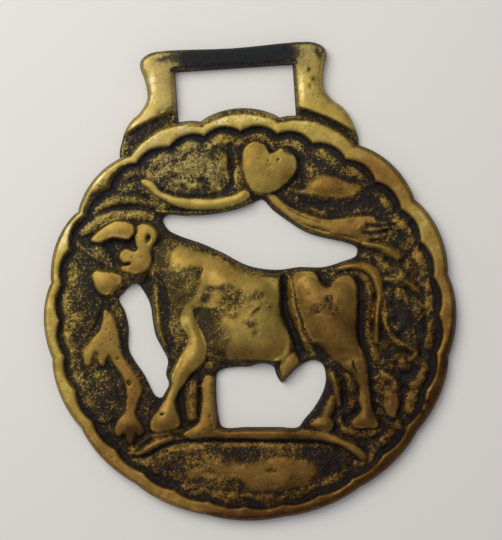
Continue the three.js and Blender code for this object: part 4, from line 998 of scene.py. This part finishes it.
class Wire:
    def __init__(self, tree, socket=None):
        self.tree = tree
        self.socket = socket

    def node(self, kind, settings=None, sockets=None, out=0):
        made = self.tree.nodes.new(kind)
        for name, value in (settings or {}).items():
            setattr(made, name, value)
        for name, value in (sockets or {}).items():
            if isinstance(value, Wire):
                self.tree.links.new(value.socket, made.inputs[name])
            else:
                made.inputs[name].default_value = value
        return Wire(self.tree, made.outputs[out] if made.outputs else None)

    def maths(self, operation, a, b):
        return self.node("ShaderNodeMath", {"operation": operation}, {0: a, 1: b})

    def __add__(self, other):
        return self.maths("ADD", self, other)

    def __radd__(self, other):
        return self.maths("ADD", other, self)

    def __sub__(self, other):
        return self.maths("SUBTRACT", self, other)

    def __rsub__(self, other):
        return self.maths("SUBTRACT", other, self)

    def __mul__(self, other):
        return self.maths("MULTIPLY", self, other)

    def __rmul__(self, other):
        return self.maths("MULTIPLY", other, self)

    def within(self, low, high, kind="SMOOTHSTEP"):
        return self.node("ShaderNodeMapRange", {"interpolation_type": kind},
                         {"Value": self, "From Min": low, "From Max": high})

    def larger(self, other):
        return self.maths("MAXIMUM", self, other)

    def ramp(self, stops):
        made = self.node("ShaderNodeValToRGB", None, {"Fac": self})
        steps = made.socket.node.color_ramp.elements
        while len(steps) < len(stops):
            steps.new(0.5)
        for step, (position, colour) in zip(steps, stops):
            step.position = position
            step.color = (*colour, 1)
        return made


castBrass = {
    "shades": [
        (0.0, (0.010, 0.010, 0.014)),
        (0.2, (0.024, 0.019, 0.012)),
        (0.4, (0.10, 0.077, 0.030)),
        (0.62, (0.33, 0.245, 0.066)),
        (0.86, (0.50, 0.375, 0.093)),
        # The palest stop is a painted highlight, reached mostly where the painted glints push the polish
        # above one.
        (1.0, (0.78, 0.66, 0.30)),
    ],
    # Tints by tone: brown low down, pale and bluish towards the painted light, teal at the bar's patina.
    "tintsAndLight": [
        (0.0, (0.22, 0.14, 0.15)),
        (0.10, (0.43, 0.315, 0.30)),
        (0.22, (0.60, 0.455, 0.43)),
        (0.40, (0.77, 0.68, 0.62)),
        (0.66, (0.97, 0.96, 0.93)),
        (0.82, (0.93, 0.97, 1.36)),
        (1.0, (0.60, 0.92, 0.95)),
    ],
    "grainPerMm": 2.1,
    "blotchPerMm": 0.45,
    "speckPerMm": 4.5,
    "beadsPerMm": 2.3,
    "polishedRange": (0.36, 0.58),
    "fleckRange": (-0.17, 0.62),
    "groundDarkest": 0.11,
    "groundGain": 0.68,
    "polishedShade": 0.74,
    "pockDepth": 0.3,
    "metalRange": (0.15, 0.5),
    "roughness": 0.68,
    "smoother": 0.12,
    "bumpStrength": 0.8,
    "bumpHeight": 0.18,
}


def makeBrassMaterial():
    material = bpy.data.materials.new("worn_cast_brass_with_painted_light")
    material.use_nodes = True
    tree = material.node_tree
    tree.nodes.clear()
    start = Wire(tree)
    place = start.node("ShaderNodeTexCoord", out=3)
    place = start.node("ShaderNodeVectorMath", {"operation": "SCALE"}, {0: place, "Scale": 1 / mm})
    finishAndLight = start.node("ShaderNodeAttribute", {"attribute_name": "finishAndLight"})
    split = start.node("ShaderNodeSeparateColor", None, {0: finishAndLight})
    # The first channel is polish with painted glints, the second gold flecks, the third tone with painted
    # light and shade, and alpha how raised each point is.
    wearAndGlints, glint, toneAndLight = (Wire(tree, split.socket.node.outputs[k]) for k in range(3))
    tops = Wire(tree, finishAndLight.socket.node.outputs["Alpha"])

    def noise(scale, detail, rough):
        return start.node("ShaderNodeTexNoise", None,
                          {"Vector": place, "Scale": scale, "Detail": detail, "Roughness": rough})

    fine = noise(castBrass["grainPerMm"], 4, 0.7) - 0.5
    blotch = noise(castBrass["blotchPerMm"], 4, 0.65) - 0.5
    speck = noise(castBrass["speckPerMm"], 2, 0.5) - 0.5
    beads = start.node("ShaderNodeTexVoronoi", None, {"Vector": place, "Scale": castBrass["beadsPerMm"]})
    bead = 1 - beads.within(0.12, 0.6)
    kinds = Wire(tree, beads.socket.node.outputs["Color"]) + 0.0
    edge = wearAndGlints + blotch * 0.5 + fine * 1.3 + (kinds - 0.5) * 0.25
    polished = edge.within(*castBrass["polishedRange"])
    flecks = fine * 1.9 + speck * 0.9 + bead * (kinds - 0.2) * 0.9 + (tops - 0.5) * 0.85
    flecks = flecks + (glint - 0.5) * 0.9 + blotch * 0.7
    fleckShare = flecks.within(*castBrass["fleckRange"], "LINEAR")
    ground = (castBrass["groundDarkest"] + fleckShare * castBrass["groundGain"]).larger(wearAndGlints * 1.2)
    pock = bead * (1 - kinds.within(0.14, 0.24))
    shiny = castBrass["polishedShade"] + (wearAndGlints - 0.8) * 0.5 + (tops - 0.5) * 0.12
    shiny = shiny + blotch * 0.5 + fine * 0.34 - pock * castBrass["pockDepth"]
    wear = ground + polished * (shiny - ground)
    shades = wear.ramp(castBrass["shades"])
    # Tint from the tone channel, so the painted light and shade reach the base colour here.
    tintAndLight = (toneAndLight + blotch * 0.25).ramp(castBrass["tintsAndLight"])
    base = start.node("ShaderNodeMix", {"data_type": "RGBA", "blend_type": "MULTIPLY"},
                      {0: 1.0, 6: shades, 7: tintAndLight}, out=2)
    metalShare = wear.within(*castBrass["metalRange"])
    bumps = start.node("ShaderNodeBump", None, {
        "Strength": castBrass["bumpStrength"],
        "Distance": castBrass["bumpHeight"] * mm,
        "Height": (fine + speck * 0.4 + bead * 0.35) * (1 - polished * 0.9),
    })
    shader = start.node("ShaderNodeBsdfPrincipled", None, {
        "Base Color": base,
        "Metallic": metalShare,
        "Roughness": castBrass["roughness"] - metalShare * castBrass["smoother"] + fine * 0.15,
        "Specular IOR Level": 0.2,
        "Normal": bumps,
    })
    start.node("ShaderNodeOutputMaterial", None, {"Surface": shader})
    return material


sheet.materials.clear()
sheet.materials.append(makeBrassMaterial())
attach(brass, "root")
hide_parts("horse_brass")
print("brass material")

studio = {
    "photoWidth": 502,
    "photoHeight": 540,
    "mmPerPixel": 76 / 415,
    "centrePixel": (250, 313.5),
    "rollDegrees": 3.8,
    "distance": 420,
    "sensor": 24,
    "floorColour": (0.79, 0.775, 0.745, 1),
    "keyPlace": (-150, 190, 330),
    "keySize": 0.28,
    "keyPower": 1.2,
    "keyColour": (1, 0.98, 0.92),
    "worldColour": (0.50, 0.49, 0.52, 1),
    "worldStrength": 0.68,
}


def makeStudio():
    deselectAll()
    bpy.ops.mesh.primitive_plane_add(size=4, location=(0, 0, 0))
    floor = bpy.context.object
    floor.name = "studio_floor"
    paper = bpy.data.materials.new("pale_paper")
    paper.use_nodes = True
    surface = paper.node_tree.nodes["Principled BSDF"]
    surface.inputs["Base Color"].default_value = studio["floorColour"]
    surface.inputs["Roughness"].default_value = 0.7
    floor.data.materials.append(paper)

    roll = math.radians(studio["rollDegrees"])
    u = (studio["photoWidth"] / 2 - studio["centrePixel"][0]) * studio["mmPerPixel"]
    v = (studio["centrePixel"][1] - studio["photoHeight"] / 2) * studio["mmPerPixel"]
    x = u * math.cos(roll) + v * math.sin(roll)
    y = v * math.cos(roll) - u * math.sin(roll)
    bpy.ops.object.camera_add(location=(x * mm, y * mm, studio["distance"] * mm), rotation=(0, 0, -roll))
    camera = bpy.context.object
    camera.data.sensor_fit = "VERTICAL"
    camera.data.sensor_height = studio["sensor"]
    reach = studio["distance"] - 1
    camera.data.lens = studio["sensor"] * reach / (studio["photoHeight"] * studio["mmPerPixel"])
    camera.data.clip_start = 0.01
    bpy.context.scene.camera = camera
    bpy.context.scene.view_settings.view_transform = "Standard"

    place = [value * mm for value in studio["keyPlace"]]
    bpy.ops.object.light_add(type="AREA", location=place)
    key = bpy.context.object
    key.data.size = studio["keySize"]
    key.data.energy = studio["keyPower"]
    key.data.color = studio["keyColour"]
    key.rotation_euler = (-key.location).to_track_quat("-Z", "Y").to_euler()
    world = bpy.data.worlds.new("soft_room")
    bpy.context.scene.world = world
    world.use_nodes = True
    room = world.node_tree.nodes["Background"]
    room.inputs["Color"].default_value = studio["worldColour"]
    room.inputs["Strength"].default_value = studio["worldStrength"]


makeStudio()
print("studio")
